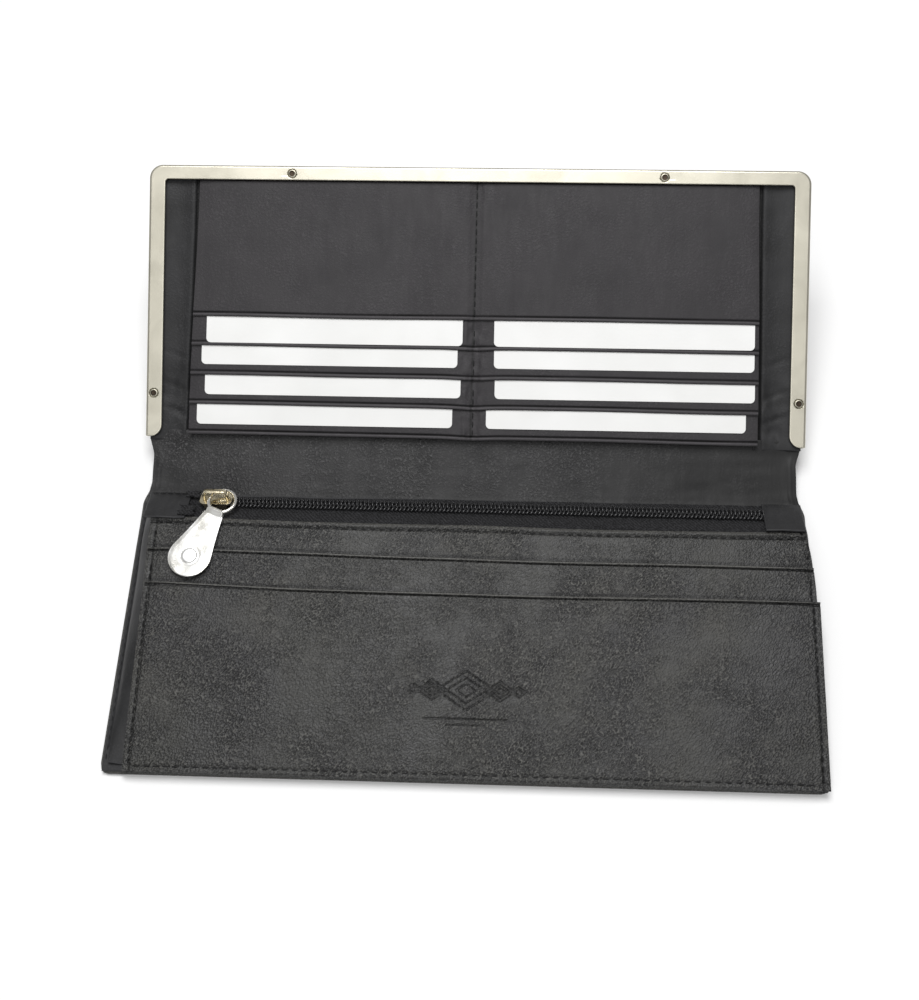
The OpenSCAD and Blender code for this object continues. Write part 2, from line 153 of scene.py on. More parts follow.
class Look:
    """A material made of nodes. Its texture lengths are in millimetres, fixed to the piece."""

    def __init__(self, name, **shader):
        self.material = bpy.data.materials.new(name)
        self.material.use_nodes = True
        self.tree = self.material.node_tree
        self.shader = self.tree.nodes["Principled BSDF"]
        for socket, value in shader.items():
            self.shader.inputs[socket.replace("_", " ")].default_value = value
        inputs = {"Vector": self.node("TexCoord").outputs["Object"],
                  "Scale": (1 / MM, 1 / MM, 1 / MM)}
        self.mm = self.node("Mapping", inputs).outputs["Vector"]

    def node(self, kind, inputs=None, **settings):
        made = self.tree.nodes.new("ShaderNode" + kind)
        for key, value in settings.items():
            setattr(made, key, value)
        for key, value in (inputs or {}).items():
            if isinstance(value, bpy.types.NodeSocket):
                self.tree.links.new(value, made.inputs[key])
            else:
                made.inputs[key].default_value = value
        return made

    def along(self, scale, turn=0.0):
        """Texture coordinates turned about z, and finer along the axes where scale is larger."""
        inputs = {"Vector": self.mm, "Rotation": (0, 0, turn)}
        turned = self.node("Mapping", inputs).outputs["Vector"]
        inputs = {"Vector": turned, "Scale": scale}
        return self.node("Mapping", inputs).outputs["Vector"]

    def read_wear_light_shade(self):
        """How light a place is painted, up to 1, for rubbed wear and painted highlight, or how dark, down
        to -1, for painted shade.
        """
        return self.node("Attribute", attribute_name="wear_light_shade").outputs["Fac"]

    def across(self):
        """The texture's x in millimetres."""
        return self.node("SeparateXYZ", {"Vector": self.mm}).outputs["X"]

    def noise(self, size, detail=3.0, rough=0.5, twist=0.0, place=None):
        inputs = {"Vector": place or self.mm, "Scale": 1 / size, "Detail": detail,
                  "Roughness": rough, "Distortion": twist}
        return self.node("TexNoise", inputs).outputs["Fac"]

    def cells(self, size, feature="DISTANCE_TO_EDGE"):
        inputs = {"Vector": self.mm, "Scale": 1 / size}
        return self.node("TexVoronoi", inputs, feature=feature).outputs["Distance"]

    def wave(self, size, axis, place=None, twist=0.0):
        inputs = {"Vector": place or self.mm, "Scale": 0.314 / size, "Distortion": twist}
        made = self.node("TexWave", inputs, bands_direction=axis)
        return made.outputs["Fac"]

    def calc(self, operation, a, b=0.0):
        return self.node("Math", {0: a, 1: b}, operation=operation).outputs[0]

    def times(self, a, b):
        return self.calc("MULTIPLY", a, b)

    def plus(self, a, b):
        return self.calc("ADD", a, b)

    def spread(self, value, low, high, to_low=0.0, to_high=1.0):
        inputs = {"Value": value, "From Min": low, "From Max": high,
                  "To Min": to_low, "To Max": to_high}
        return self.node("MapRange", inputs).outputs["Result"]

    def blended(self, share, a, b):
        """A colour between a and b, each a colour, a number for a grey, or a socket."""
        inputs = {0: share}
        for socket, value in ((6, a), (7, b)):
            grey = (value, value, value) if isinstance(value, float) else value
            inputs[socket] = value if isinstance(value, bpy.types.NodeSocket) else (*grey, 1)
        return self.node("Mix", inputs, data_type="RGBA").outputs[2]

    def ramp(self, value, low, high, a, b):
        """The colour a where the value is low and b where it is high."""
        return self.blended(self.spread(value, low, high), a, b)

    def tone_with_wear_light_shade(self, tone, wear_and_painted_light, share):
        """The tone, lighter where the leather is rubbed and catches light (wear and painted highlight),
        and black where shade is painted.
        """
        tone = self.blended(self.spread(self.read_wear_light_shade(), 0.0, 1.0, 0.0, share), tone, wear_and_painted_light)
        return self.ramp(self.read_wear_light_shade(), 0.0, -1.0, tone, 0.002)

    def bumps(self, *reliefs):
        """Bumps of a height and a depth in millimetres, each on top of the one before."""
        inputs = {"Strength": 1.0}
        for height, depth in reliefs:
            inputs.update({"Height": height, "Distance": depth * MM})
            inputs["Normal"] = self.node("Bump", inputs).outputs["Normal"]
        return inputs["Normal"]

    def set(self, **sockets):
        for socket, value in sockets.items():
            self.tree.links.new(value, self.shader.inputs[socket.replace("_", " ")])
        return self.material


def grained_leather():
    """Black calf with a fine grain, creased in patches, and slightly worn to olive grey; its light grain
    flecks are partly painted glints, its pits and creases are painted shade, and the lighter olive grey
    of its worn edges is partly painted highlight.
    """
    look = Look("grained_leather", Coat_Weight=0.08, Coat_Roughness=0.35, Specular_IOR_Level=0.42)
    diagonal = look.along((1.25, 0.8, 1.0), 0.7)
    grain = look.noise(0.56, 0.0, 0.5, 0.3, diagonal)
    patch = look.spread(look.noise(17.0, 3.0, 0.6), 0.38, 0.66, 0.35, 1.0)
    cloud = look.noise(24.0, 4.0, 0.55)
    hue = look.noise(33.0, 2.0)
    wander = look.noise(7.0, 2.0, 0.5, 0.7, look.along((1.3, 0.42, 1.0), 0.62))
    ridge = look.calc("ABSOLUTE", look.calc("SUBTRACT", wander, 0.5))
    crease = look.spread(ridge, 0.0, 0.03, 1.0, 0.0)
    crease = look.times(crease, look.spread(look.noise(15.0, 2.0), 0.48, 0.62))
    relief = look.times(look.calc("SUBTRACT", grain, 0.5), patch)
    normal = look.bumps((look.noise(8.0, 3.0, 0.55), 0.3), (look.calc("SUBTRACT", 1.0, crease), 0.07),
                        (relief, 0.58))
    tone = look.ramp(hue, 0.35, 0.65, (0.0150, 0.0150, 0.0128), (0.0140, 0.0138, 0.0150))
    tone = look.ramp(cloud, 0.52, 0.72, tone, (0.036, 0.035, 0.031))
    tone = look.ramp(cloud, 0.48, 0.3, tone, (0.006, 0.006, 0.0065))
    # Lighter flecks on the grain's highs: partly grain tone and partly painted glints.
    flecks = look.times(look.spread(grain, 0.50, 0.78), patch)
    tone = look.blended(flecks, tone, (0.102, 0.100, 0.092))
    # Darker pits in the grain's hollows: partly grain tone and partly painted shade.
    pits = look.times(look.spread(grain, 0.46, 0.3), patch)
    tone = look.blended(pits, tone, 0.003)
    # Creases painted darker: painted shade.
    tone = look.blended(look.times(crease, 0.7), tone, 0.005)
    tone = look.tone_with_wear_light_shade(tone, (0.130, 0.127, 0.118), 0.7)
    rough = look.spread(look.plus(cloud, grain), 0.7, 1.3, 0.38, 0.56)
    return look.set(Base_Color=tone, Roughness=rough, Normal=normal)


def smooth_leather(name, dark, light, depth=1.0, pores=0.12, fade=None):
    """Smooth calf with a nearly flat grain and faint streaks. fade gives the two places in x
    between which the leather darkens as painted shade, and its flecks fade away."""
    look = Look(name, Coat_Weight=0.03, Coat_Roughness=0.5, Specular_IOR_Level=0.33)
    streaks = look.noise(3.0, 4.0, 0.55, 0.4, look.along((1.0, 0.22, 0.22)))
    grain = look.noise(0.7, 1.0, 0.5, 0.4)
    patch = look.spread(look.noise(19.0, 3.0, 0.6), 0.36, 0.64, 0.15, 1.0)
    if fade:
        patch = look.times(patch, look.spread(look.across(), *fade, 1.0, 0.0))
    soft = look.noise(14.0, 3.0)
    relief = look.times(look.calc("SUBTRACT", grain, 0.5), patch)
    normal = look.bumps((soft, 0.14 * depth), (streaks, 0.05 * depth), (relief, pores))
    share = look.spread(look.plus(look.times(streaks, 0.5), soft), 0.5, 1.0)
    tone = look.blended(share, dark, light)
    # Darker towards the second place in fade: painted shade.
    if fade:
        tone = look.blended(look.spread(look.across(), *fade, 0.0, 0.75), tone, 0.002)
    # Lighter flecks on the grain: partly grain tone and partly painted glints.
    flecks = look.times(look.spread(grain, 0.52, 0.75, 0.0, min(1.0, 2.5 * pores)), patch)
    tone = look.blended(flecks, tone, [2.8 * c for c in light])
    tone = look.tone_with_wear_light_shade(tone, [3.0 * c for c in light], 0.5)
    rough = look.spread(streaks, 0.3, 0.7, 0.50, 0.62)
    return look.set(Base_Color=tone, Roughness=rough, Normal=normal)


def bonded_board():
    """Board of pressed leather fibres."""
    look = Look("bonded_board", Roughness=0.85)
    fibres = look.noise(0.8, 5.0, 0.7, 2.0)
    flecks = look.cells(0.5, "F1")
    tone = look.blended(fibres, (0.20, 0.13, 0.08), (0.42, 0.31, 0.20))
    tone = look.ramp(flecks, 0.1, 0.3, (0.15, 0.10, 0.07), tone)
    return look.set(Base_Color=tone, Normal=look.bumps((fibres, 0.05)))


def woven_tape():
    """Twill zip tape: slanted ribs under a fine fuzz."""
    look = Look("woven_tape", Roughness=0.8, Sheen_Weight=0.12, Sheen_Roughness=0.4,
                Specular_IOR_Level=0.3)
    ribs = look.wave(0.62, "DIAGONAL", look.along((1.0, 1.6, 1.6)), 2.2)
    fuzz = look.noise(0.42, 0.0)
    height = look.plus(look.times(ribs, 0.3), fuzz)
    tone = look.ramp(height, 0.5, 0.95, (0.0015, 0.0015, 0.002), (0.026, 0.026, 0.0285))
    return look.set(Base_Color=tone, Normal=look.bumps((height, 0.16)))


def nylon():
    """Shiny black nylon with a slight haze."""
    look = Look("nylon_coil", Coat_Weight=0.7, Coat_Roughness=0.16)
    haze = look.noise(0.9, 2.0)
    tone = look.ramp(haze, 0.35, 0.7, (0.004, 0.004, 0.005), (0.018, 0.018, 0.02))
    rough = look.spread(haze, 0.3, 0.7, 0.22, 0.4)
    return look.set(Base_Color=tone, Roughness=rough, Normal=look.bumps((look.noise(0.3, 2.0), 0.02)))


def black_thread():
    """Twisted thread with a slight wax shine."""
    look = Look("black_thread", Roughness=0.7, Specular_IOR_Level=0.3)
    twist = look.wave(0.16, "DIAGONAL")
    tone = look.blended(twist, 0.003, (0.02, 0.02, 0.021))
    return look.set(Base_Color=tone, Normal=look.bumps((twist, 0.03)))


def polished(name, dark, light, rough, patch_size, brush=(1.0, 1.0, 1.0)):
    """Polished metal with patchy tone, partly handling marks and partly painted reflection, hairline
    scratches along one direction, and painted shade in dark brown where the wear and shade attribute is
    negative."""
    look = Look(name, Metallic=1.0)
    smear_and_reflection = look.noise(patch_size, 4.0, 0.55, 0.6)
    lines = look.noise(0.18, 2.0, 0.6, 0.0, look.along(brush))
    # Patchy tone: partly handling marks and partly painted reflection.
    tone = look.ramp(smear_and_reflection, 0.32, 0.68, dark, light)
    # Dark brown where the attribute is negative: painted shade.
    tone = look.ramp(look.read_wear_light_shade(), 0.0, -1.0, tone, (0.05, 0.038, 0.028))
    gloss = look.spread(look.plus(smear_and_reflection, look.times(lines, 0.5)), 0.5, 1.0, *rough)
    normal = look.bumps((smear_and_reflection, 0.012), (lines, 0.003))
    return look.set(Base_Color=tone, Roughness=gloss, Normal=normal)


def card_stock():
    """White plastic card, almost without texture."""
    look = Look("card_white", Coat_Weight=0.15, Coat_Roughness=0.35)
    fibre = look.noise(0.6, 4.0, 0.6)
    cloud = look.noise(20.0, 2.0)
    tone = look.ramp(cloud, 0.3, 0.7, (0.80, 0.80, 0.785), (0.86, 0.86, 0.85))
    rough = look.spread(fibre, 0.3, 0.7, 0.42, 0.55)
    return look.set(Base_Color=tone, Roughness=rough, Normal=look.bumps((fibre, 0.008)))


def silver_leather():
    """Metallic foil on leather, cracked along fine creases, and darker on the left of the round end as
    painted shade.
    """
    look = Look("silver_leather", Metallic=0.55, Coat_Weight=0.2, Coat_Roughness=0.2)
    ridge = look.calc("ABSOLUTE", look.calc("SUBTRACT", look.noise(2.4, 4.0, 0.65, 1.2), 0.5))
    crack = look.spread(ridge, 0.0, 0.03)
    cloud = look.noise(6.5, 1.5)
    tone = look.ramp(cloud, 0.34, 0.64, (0.54, 0.53, 0.49), (0.88, 0.88, 0.87))
    # Darker towards the left of the round end: painted shade.
    tone = look.blended(look.spread(look.across(), -87.5, -93.0, 0.0, 0.45), tone, (0.45, 0.44, 0.41))
    tone = look.ramp(look.plus(crack, cloud), 0.25, 0.6, (0.66, 0.65, 0.61), tone)
    normal = look.bumps((cloud, 0.07), (crack, 0.015), (look.cells(0.4), 0.012))
    return look.set(Base_Color=tone, Roughness=look.spread(cloud, 0.3, 0.7, 0.24, 0.42), Normal=normal)


def floor_look():
    look = Look("floor", Roughness=0.7)
    cloud = look.noise(300.0, 2.0)
    return look.set(Base_Color=look.blended(cloud, 0.95, 0.97))


LOOKS = {
    "grained": grained_leather(),
    "smooth": smooth_leather("smooth_leather", (0.019, 0.0172, 0.0195), (0.029, 0.0265, 0.029)),
    "gusset": smooth_leather("gusset_leather", (0.008, 0.008, 0.0085), (0.022, 0.022, 0.0235), 2.0),
    "spine": smooth_leather("spine_leather", (0.006, 0.006, 0.0065), (0.030, 0.0295, 0.030), 2.2, 0.34,
                            (15.0, 110.0)),
    "lining": smooth_leather("lining_leather", (0.010, 0.010, 0.011), (0.019, 0.019, 0.021), 1.2),
    "board": bonded_board(),
    "tape": woven_tape(),
    "coil": nylon(),
    "thread": black_thread(),
    "frame": polished("champagne_metal", (0.49, 0.467, 0.39), (0.59, 0.564, 0.475), (0.31, 0.39), 14.0,
                      (0.15, 1.0, 1.0)),
    "screw": polished("screw_metal", (0.34, 0.32, 0.26), (0.5, 0.475, 0.39), (0.3, 0.5), 1.5),
    "gold": polished("pale_gold", (0.62, 0.54, 0.37), (0.88, 0.80, 0.60), (0.14, 0.3), 2.5),
    "ring": polished("ring_metal", (0.72, 0.70, 0.64), (0.92, 0.91, 0.87), (0.1, 0.22), 2.5),
    "cap": polished("rivet_metal", (0.93, 0.93, 0.92), (0.98, 0.98, 0.97), (0.36, 0.46), 2.0),
    "silver": silver_leather(),
    "backing": smooth_leather("tab_backing", (0.008, 0.008, 0.008), (0.02, 0.02, 0.02)),
    "card": card_stock(),
}

# ---- building blocks ----


def noise(x, y, size, seed):
    """Smooth noise from -1 to 1 with cells of a given size."""
    lattice = np.random.default_rng(seed).uniform(-1, 1, (61, 61))
    gx, gy = np.asarray(x, float) / size, np.asarray(y, float) / size
    ix, iy = np.floor(gx).astype(int), np.floor(gy).astype(int)
    fx, fy = gx - ix, gy - iy
    fx, fy = fx * fx * (3 - 2 * fx), fy * fy * (3 - 2 * fy)
    near = lattice[ix % 61, iy % 61] * (1 - fx) + lattice[(ix + 1) % 61, iy % 61] * fx
    far = lattice[ix % 61, (iy + 1) % 61] * (1 - fx) + lattice[(ix + 1) % 61, (iy + 1) % 61] * fx
    return near * (1 - fy) + far * fy


def hump(distance, width):
    return np.exp(-((distance / width) ** 2))


def smooth_step(value, low, high):
    t = np.clip((value - low) / (high - low), 0, 1)
    return t * t * (3 - 2 * t)


def lines(a, b, step, edge=0.8, around=(), reach=1.05):
    """Grid lines from a to b: one every step, closer at both ends and around chosen places."""
    values = list(np.linspace(a + edge, b - edge, max(2, int((b - a) / step))))
    for share in (0, 0.06, 0.22, 0.5):
        values += [a + share * edge, b - share * edge]
    for centre in around:
        values += list(np.linspace(centre - reach, centre + reach, 11))
    kept = []
    for value in sorted(v for v in values if a <= v <= b):
        if not kept or value - kept[-1] > 0.015:
            kept.append(value)
    kept[-1] = b
    return np.array(kept)


def shaded(mesh, look, sharp):
    """Gives a mesh its material, and smooth shading between edges up to an angle."""
    mesh.shade_smooth()
    mesh.set_sharp_from_angle(angle=math.radians(sharp))
    mesh.materials.clear()
    mesh.materials.append(LOOKS[look])


def add(name, verts, faces, look, body, stands_for=(), sharp=38, wear_light_shade=None):
    mesh = bpy.data.meshes.new(name)
    mesh.from_pydata((np.asarray(verts, float) * MM).tolist(), [], faces)
    # The attribute holds wear and painted light: above 0 for wear and painted highlight, below 0 for
    # painted shade.
    if wear_light_shade is not None:
        mesh.attributes.new("wear_light_shade", "FLOAT", "POINT").data.foreach_set("value", wear_light_shade)
    mesh.validate()
    shaded(mesh, look, sharp)
    obj = linked(name, mesh)
    if isinstance(body, str):
        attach(obj, body)
    else:
        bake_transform(obj)
    if stands_for:
        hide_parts(*stands_for)


def ring_faces(sides, rings, closed=False):
    """Faces of a skin over rings of vertices. Unless it is closed to a loop, it has end caps."""
    faces = []
    for ring in range(rings if closed else rings - 1):
        ahead = ((ring + 1) % rings - ring) * sides
        for k in range(sides):
            a, b = ring * sides + k, ring * sides + (k + 1) % sides
            faces.append([a, b, b + ahead, a + ahead])
    if not closed:
        faces += [list(reversed(range(sides))), [(rings - 1) * sides + k for k in range(sides)]]
    return faces


def leather(name, across, along, surface, thickness, look, body, stands_for=(), cut=(),
            wear_and_painted_light=None):
    """A sheet on a grid. surface(X, Y) gives the face that looks along dX x dY, and the sheet
    lies behind it. Its edges are round, except those named in cut. The wear function of (X, Y) says how
    light each place is painted (1), for wear and painted highlight, or how dark (-1), for painted shade;
    without it only the edges are painted lighter, as wear and painted highlight."""
    X, Y = np.meshgrid(across, along, indexing="ij")
    face = surface(X, Y)
    normal = np.cross(np.gradient(face, axis=0), np.gradient(face, axis=1))
    normal /= np.linalg.norm(normal, axis=-1, keepdims=True)
    gaps = {"left": X - across[0], "right": across[-1] - X,
            "front": Y - along[0], "rear": along[-1] - Y}
    inside = np.full(X.shape, 1.0)
    for side, gap in gaps.items():
        if side not in cut:
            inside = np.minimum(inside, gap / (0.5 * thickness))
    half = 0.5 * thickness * np.sqrt(1 - (1 - np.clip(inside, 0.004, 1)) ** 2)
    middle = face - normal * (0.5 * thickness)
    verts = np.concatenate([(middle + normal * half[..., None]).reshape(-1, 3),
                            (middle - normal * half[..., None]).reshape(-1, 3)])
    rows, columns = X.shape
    ids = np.arange(rows * columns).reshape(rows, columns)
    top = np.stack([ids[:-1, :-1], ids[1:, :-1], ids[1:, 1:], ids[:-1, 1:]], -1).reshape(-1, 4)
    low = rows * columns
    rim = np.concatenate([ids[:, 0], ids[-1, 1:], ids[-2::-1, -1], ids[0, -2:0:-1]])
    after = np.roll(rim, -1)
    wall = np.stack([rim, rim + low, after + low, after], -1)
    faces = np.concatenate([top, top[:, ::-1] + low, wall])
    # Without a wear function the uncut edges are painted lighter: wear and painted highlight.
    wear_light_shade = 0.3 * (inside < 0.99) if wear_and_painted_light is None else wear_and_painted_light(X, Y)
    wear_light_shade = np.tile(np.broadcast_to(wear_light_shade, X.shape).reshape(-1), 2)
    add(name, verts, faces.tolist(), look, body, stands_for, wear_light_shade=wear_light_shade)


def path_steps(points):
    """How far along a path each of its points lies."""
    return np.concatenate([[0], np.cumsum(np.linalg.norm(np.diff(points, axis=0), axis=1))])


def on_path(path, steps, at):
    """The path's points at given distances."""
    return np.stack([np.interp(at, steps, path[:, k]) for k in range(3)], -1)


def smooth_path(points, count):
    """A smooth curve through points, as count points at even steps."""
    points = np.asarray(points, float)
    steps = path_steps(points)
    slopes = np.gradient(points, steps, axis=0)
    s = np.linspace(0, steps[-1], count)
    k = np.clip(np.searchsorted(steps, s, side="right") - 1, 0, len(points) - 2)
    span = (steps[k + 1] - steps[k])[:, None]
    t = ((s - steps[k]) / (steps[k + 1] - steps[k]))[:, None]
    return ((2 * t**3 - 3 * t**2 + 1) * points[k] + (t**3 - 2 * t**2 + t) * span * slopes[k]
            + (3 * t**2 - 2 * t**3) * points[k + 1] + (t**3 - t**2) * span * slopes[k + 1])


class Plane:
    """Axes of a sloped part: x across, u up the slope, n out of its face."""

    def __init__(self, origin, slope):
        a = math.radians(slope)
        self.origin = np.array(origin, float)
        self.u = np.array([0, math.cos(a), math.sin(a)])
        self.n = np.array([0, -math.sin(a), math.cos(a)])

    def at(self, x, u, n):
        x, u, n = np.broadcast_arrays(np.asarray(x, float), u, n)
        across = np.array([1.0, 0, 0])
        return self.origin + x[..., None] * across + u[..., None] * self.u + n[..., None] * self.n


LID = Plane((0, 60.383, 10.737), 28)
CARDS = Plane(LID.at(0, MOUTHS[0], 0.9), 28 - 2.8)
ZIP = Plane((0, PANEL_REAR, PANEL_TOP - 0.35), -22.73)
PANEL = Plane((0, -FRONT, PANEL_FOOT), math.degrees(math.atan(PANEL_SLOPE)))


def stitches(name, runs, body, pitch=3.0, width=0.42):
    """Rows of stitches. Each run is the points that it follows and the leather's normal."""
    shares = (-1, -0.82, -0.4, 0, 0.4, 0.82, 1)
    around = 8
    skin = ring_faces(around, len(shares))
    verts, faces = [], []
    for path, normal in runs:
        path, normal = np.asarray(path, float), np.asarray(normal, float)
        steps = path_steps(path)
        for middle in np.arange(0.5 * pitch, steps[-1] - 0.4 * pitch, pitch):
            ends = [on_path(path, steps, middle + d * 0.37 * pitch) for d in (-1, 1)]
            centre, reach = (ends[0] + ends[1]) / 2, (ends[1] - ends[0]) / 2
            side = np.cross(normal, reach)
            side /= np.linalg.norm(side)
            first = len(verts)
            for share in shares:
                size = math.sqrt(max(0.03, 1 - abs(share) ** 2.6)) * width / 2
                place = centre + reach * share + normal * (0.06 - 0.16 * share * share)
                for k in range(around):
                    turn = 2 * math.pi * k / around
                    verts.append(place + side * (size * math.cos(turn))
                                 + normal * (size * 0.8 * math.sin(turn)))
            faces += [[first + i for i in face[:1] + face[:0:-1]] for face in skin]
    add(name, verts, faces, "thread", body, sharp=70)


def tube(points, radius, sides=8, closed=False):
    """Vertices and faces of a round tube along points."""
    points = np.asarray(points, float)
    tangent = np.roll(points, -1, 0) - np.roll(points, 1, 0)
    if not closed:
        tangent[0], tangent[-1] = points[1] - points[0], points[-1] - points[-2]
    tangent /= np.linalg.norm(tangent, axis=1, keepdims=True)
    up = np.array([0.13, 0.31, 0.94])
    side = np.cross(tangent, up)
    side /= np.linalg.norm(side, axis=1, keepdims=True)
    other = np.cross(side, tangent)
    turn = np.linspace(0, 2 * math.pi, sides, endpoint=False)
    rings = (points[:, None] + radius * (side[:, None] * np.cos(turn)[None, :, None]
                                         + other[:, None] * np.sin(turn)[None, :, None]))
    return rings.reshape(-1, 3), ring_faces(sides, len(points), closed)


def lathe(profile, place, segments=40):
    """A profile of (radius, height) turned about its axis. place(x, y, z) puts it in the frame."""
    turns = [2 * math.pi * k / segments for k in range(segments)]
    verts = [place(radius * math.cos(turn), radius * math.sin(turn), height)
             for radius, height in profile for turn in turns]
    return verts, ring_faces(segments, len(profile))


def joined(parts):
    """Several (vertices, faces) as one."""
    verts, faces = [], []
    for more, polygons in parts:
        first = len(verts)
        verts += [tuple(v) for v in more]
        faces += [[first + i for i in polygon] for polygon in polygons]
    return verts, faces


def bevelled(node, width, look):
    """A finished copy of a rigid CAD node: the same shape with small round edges."""
    source = frame["nodes"][node]
    mesh = source.data.copy()
    mesh.name = node + "_finish"
    work = bmesh.new()
    work.from_mesh(mesh)
    bmesh.ops.remove_doubles(work, verts=work.verts, dist=1e-6)
    bmesh.ops.dissolve_limit(work, angle_limit=math.radians(1.5), verts=work.verts, edges=work.edges)
    work.to_mesh(mesh)
    work.free()
    obj = linked(mesh.name, mesh)
    edge = obj.modifiers.new("edge", "BEVEL")
    edge.width = width * MM
    edge.segments = 3
    edge.limit_method = "ANGLE"
    edge.angle_limit = math.radians(28)
    edge.use_clamp_overlap = True
    bpy.context.view_layer.update()
    done = bpy.data.meshes.new_from_object(obj.evaluated_get(bpy.context.evaluated_depsgraph_get()))
    obj.modifiers.clear()
    obj.data = done
    shaded(done, look, 50)
    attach(obj, source["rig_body"])
    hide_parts(node)


# ---- body: covers and linings ----

# The spine's lining and the outer leather from the side, as points in Y and Z.
INNER = [(38.4, LINING_TOP + 0.1), (40.3, LINING_TOP - 0.05), (42.4, 2.85), (45.5, 3.55), (51, 5.36),
         (57, 7.34), (59.3, 8.12), (61.0, 8.95), (63.6, 10.2)]
OUTER = [(-FRONT, COVER_T), (-20, COVER_T), (20, COVER_T), (38.9, COVER_T - 0.02), (41.2, 1.72),
         (44.0, 2.2), (52.0, 3.75), (60.3, 5.5), (62.6, 6.3), (66.28, 8.17), (80, 15.46),
         (100, 26.1), (120, 36.73), (142.0, 48.43)]


SPINE_HALF = 107.0
# Half width of the outer leather where the spine is narrowest.
WAIST = 107.3
SEAM_INSET = 1.6


def profile(points):
    """Height over y of a smooth curve through points in Y and Z."""
    curve = smooth_path([(0, y, z) for y, z in points], 900)
    return lambda y: np.interp(y, curve[:, 1], curve[:, 2])


inner, outer = profile(INNER), profile(OUTER)


def spine_half(x, y):
    """Half width of the spine: pinched in the middle, wider towards the lid and the body."""
    waist = 106.9 + 1.6 * smooth_step(y, 55, 61.5) + 0.9 * smooth_step(-y, -47, -42)
    return waist - 0.2 * (x >= 0) * smooth_step(y, 50, 58)


def cover_half(y):
    """Half width of the outer leather: full under the body, narrower at the spine."""
    waist = COVER_HALF - (COVER_HALF - WAIST) * smooth_step(y, 39.5, 47)
    return waist + (LID_HALF - WAIST) * smooth_step(y, 55, 63)


def round_corner(x, y, corner_x, corner_y, r):
    """Pulls a square corner in to a round one of radius r."""
    rx, ry = math.copysign(r, corner_x), math.copysign(r, corner_y)
    dx = np.clip((x - corner_x + rx) / rx, 0, 1)
    dy = np.clip((y - corner_y + ry) / ry, 0, 1)
    both = np.maximum(np.hypot(dx, dy), 1e-9)
    pull = np.where((dx > 0) & (dy > 0), np.maximum(dx, dy) / both - 1, 0)
    return x + rx * dx * pull, y + ry * dy * pull


def cover_surface(X, Y):
    x, y = X / COVER_HALF * cover_half(Y), Y
    for side in (-1, 1):
        x, y = round_corner(x, y, side * COVER_HALF, -FRONT, 3.0)
    z = outer(y) + 0.05 * noise(X, Y, 17, 3) * smooth_step(COVER_HALF - abs(X), 0, 4)
    seam = np.abs(X) - COVER_HALF + SEAM_INSET
    z = z - 0.1 * hump(seam, 0.5) * (y < 38)
    return np.stack([x, y, z], -1)


def lid_cover_surface(X, U):
    x, u = X * LID_HALF / COVER_HALF, U
    for side in (-1, 1):
        x, u = round_corner(x, u, side * LID_HALF, LID_COVER_TOP, 4.0)
    n = 1.78 - LID_DEPTH - 0.1 * (1 + noise(X, U, 22, 4)) * smooth_step(105 - abs(X), 0, 8)
    return LID.at(x, u, n)


BODY_SPINE = ("body", "spine", (0, 39.4, 2), (0, 43.6, 2.9))
SPINE_LID = ("spine", "lid", (0, 57.4, 7.5), (0, 61.8, 9.2))
MID_SPINE = 50.6
LID_COVER_TOP = 89.7

cover_x = lines(-COVER_HALF, COVER_HALF, 2.6, 1.2, (SEAM_INSET - COVER_HALF, COVER_HALF - SEAM_INSET))
leather("back_cover_leather", cover_x, lines(-FRONT, 39.4, 2.2, 1.2), cover_surface,
        COVER_T - 0.3, "grained", "body", ["back_cover"], ["rear"])
leather("spine_cover_lower", cover_x, lines(39.4, MID_SPINE, 0.7, 0.5), cover_surface, 1.4,
        "grained", BODY_SPINE, ["spine_cover"], ["front", "rear"])
leather("spine_cover_upper", cover_x, lines(MID_SPINE, 62.6, 0.8, 0.5), cover_surface, 1.3,
        "grained", SPINE_LID, ["spine_cover"], ["front", "rear"])
leather("lid_cover_leather", cover_x, lines(-0.1, LID_COVER_TOP, 2.4, 1.0), lid_cover_surface, 0.95,
        "grained", "lid", ["lid_cover"], ["front"])


def back_lining_surface(X, Y):
    height = LINING_TOP + 0.02 * noise(X, Y, 12, 8)
    side = smooth_step(abs(X), 105.4, 108.2)
    front = smooth_step(-Y, 42.0, 44.5)
    return np.stack([X, Y, height - (LINING_TOP - COVER_T - 0.45) * np.maximum(side, front)], -1)


leather("back_lining_leather",
        lines(-108.9, 108.9, 4, 0.8, (-106.8, 106.8), 1.6),
        lines(-51.4, 39.9, 4, 0.6, (-43.2,), 1.6), back_lining_surface, 0.5, "lining", "body",
        ["back_lining"])


def spine_lining_surface(X, Y):
    x = X / SPINE_HALF * spine_half(X, Y)
    z = inner(Y)
    mid = smooth_step(Y, 40, 45) * smooth_step(-Y, -60, -54)
    z = z + mid * (0.22 * noise(X, Y * 1.6, 15, 11) + 0.09 * noise(X, Y * 2.5, 6, 12))
    edge = SPINE_HALF - abs(X)
    z = z + 0.5 * hump(edge, 3.0) * mid + 0.25 * hump(edge - 2.2, 0.9) * mid
    return np.stack([x, Y, z], -1)


lining_x = lines(-SPINE_HALF, SPINE_HALF, 2.2, 0.8, (2.2 - SPINE_HALF, SPINE_HALF - 2.2))
leather("spine_lining_lower", lining_x, lines(38.4, MID_SPINE, 0.6, 0.4), spine_lining_surface,
        0.6, "spine", BODY_SPINE, ["spine_lining"], ["rear"])
leather("spine_lining_upper", lining_x, lines(MID_SPINE, 63.5, 0.6, 0.4), spine_lining_surface,
        0.6, "spine", SPINE_LID, ["spine_lining"], ["front"])

# ---- body: the pocket block ----


def panel_z(y):
    return PANEL_FOOT + (y + FRONT) * PANEL_SLOPE


def left_edge(y, level):
    return -102.6 + 0.5 * level + 0.25 * noise(y, 3.0 * level, 14, 5)


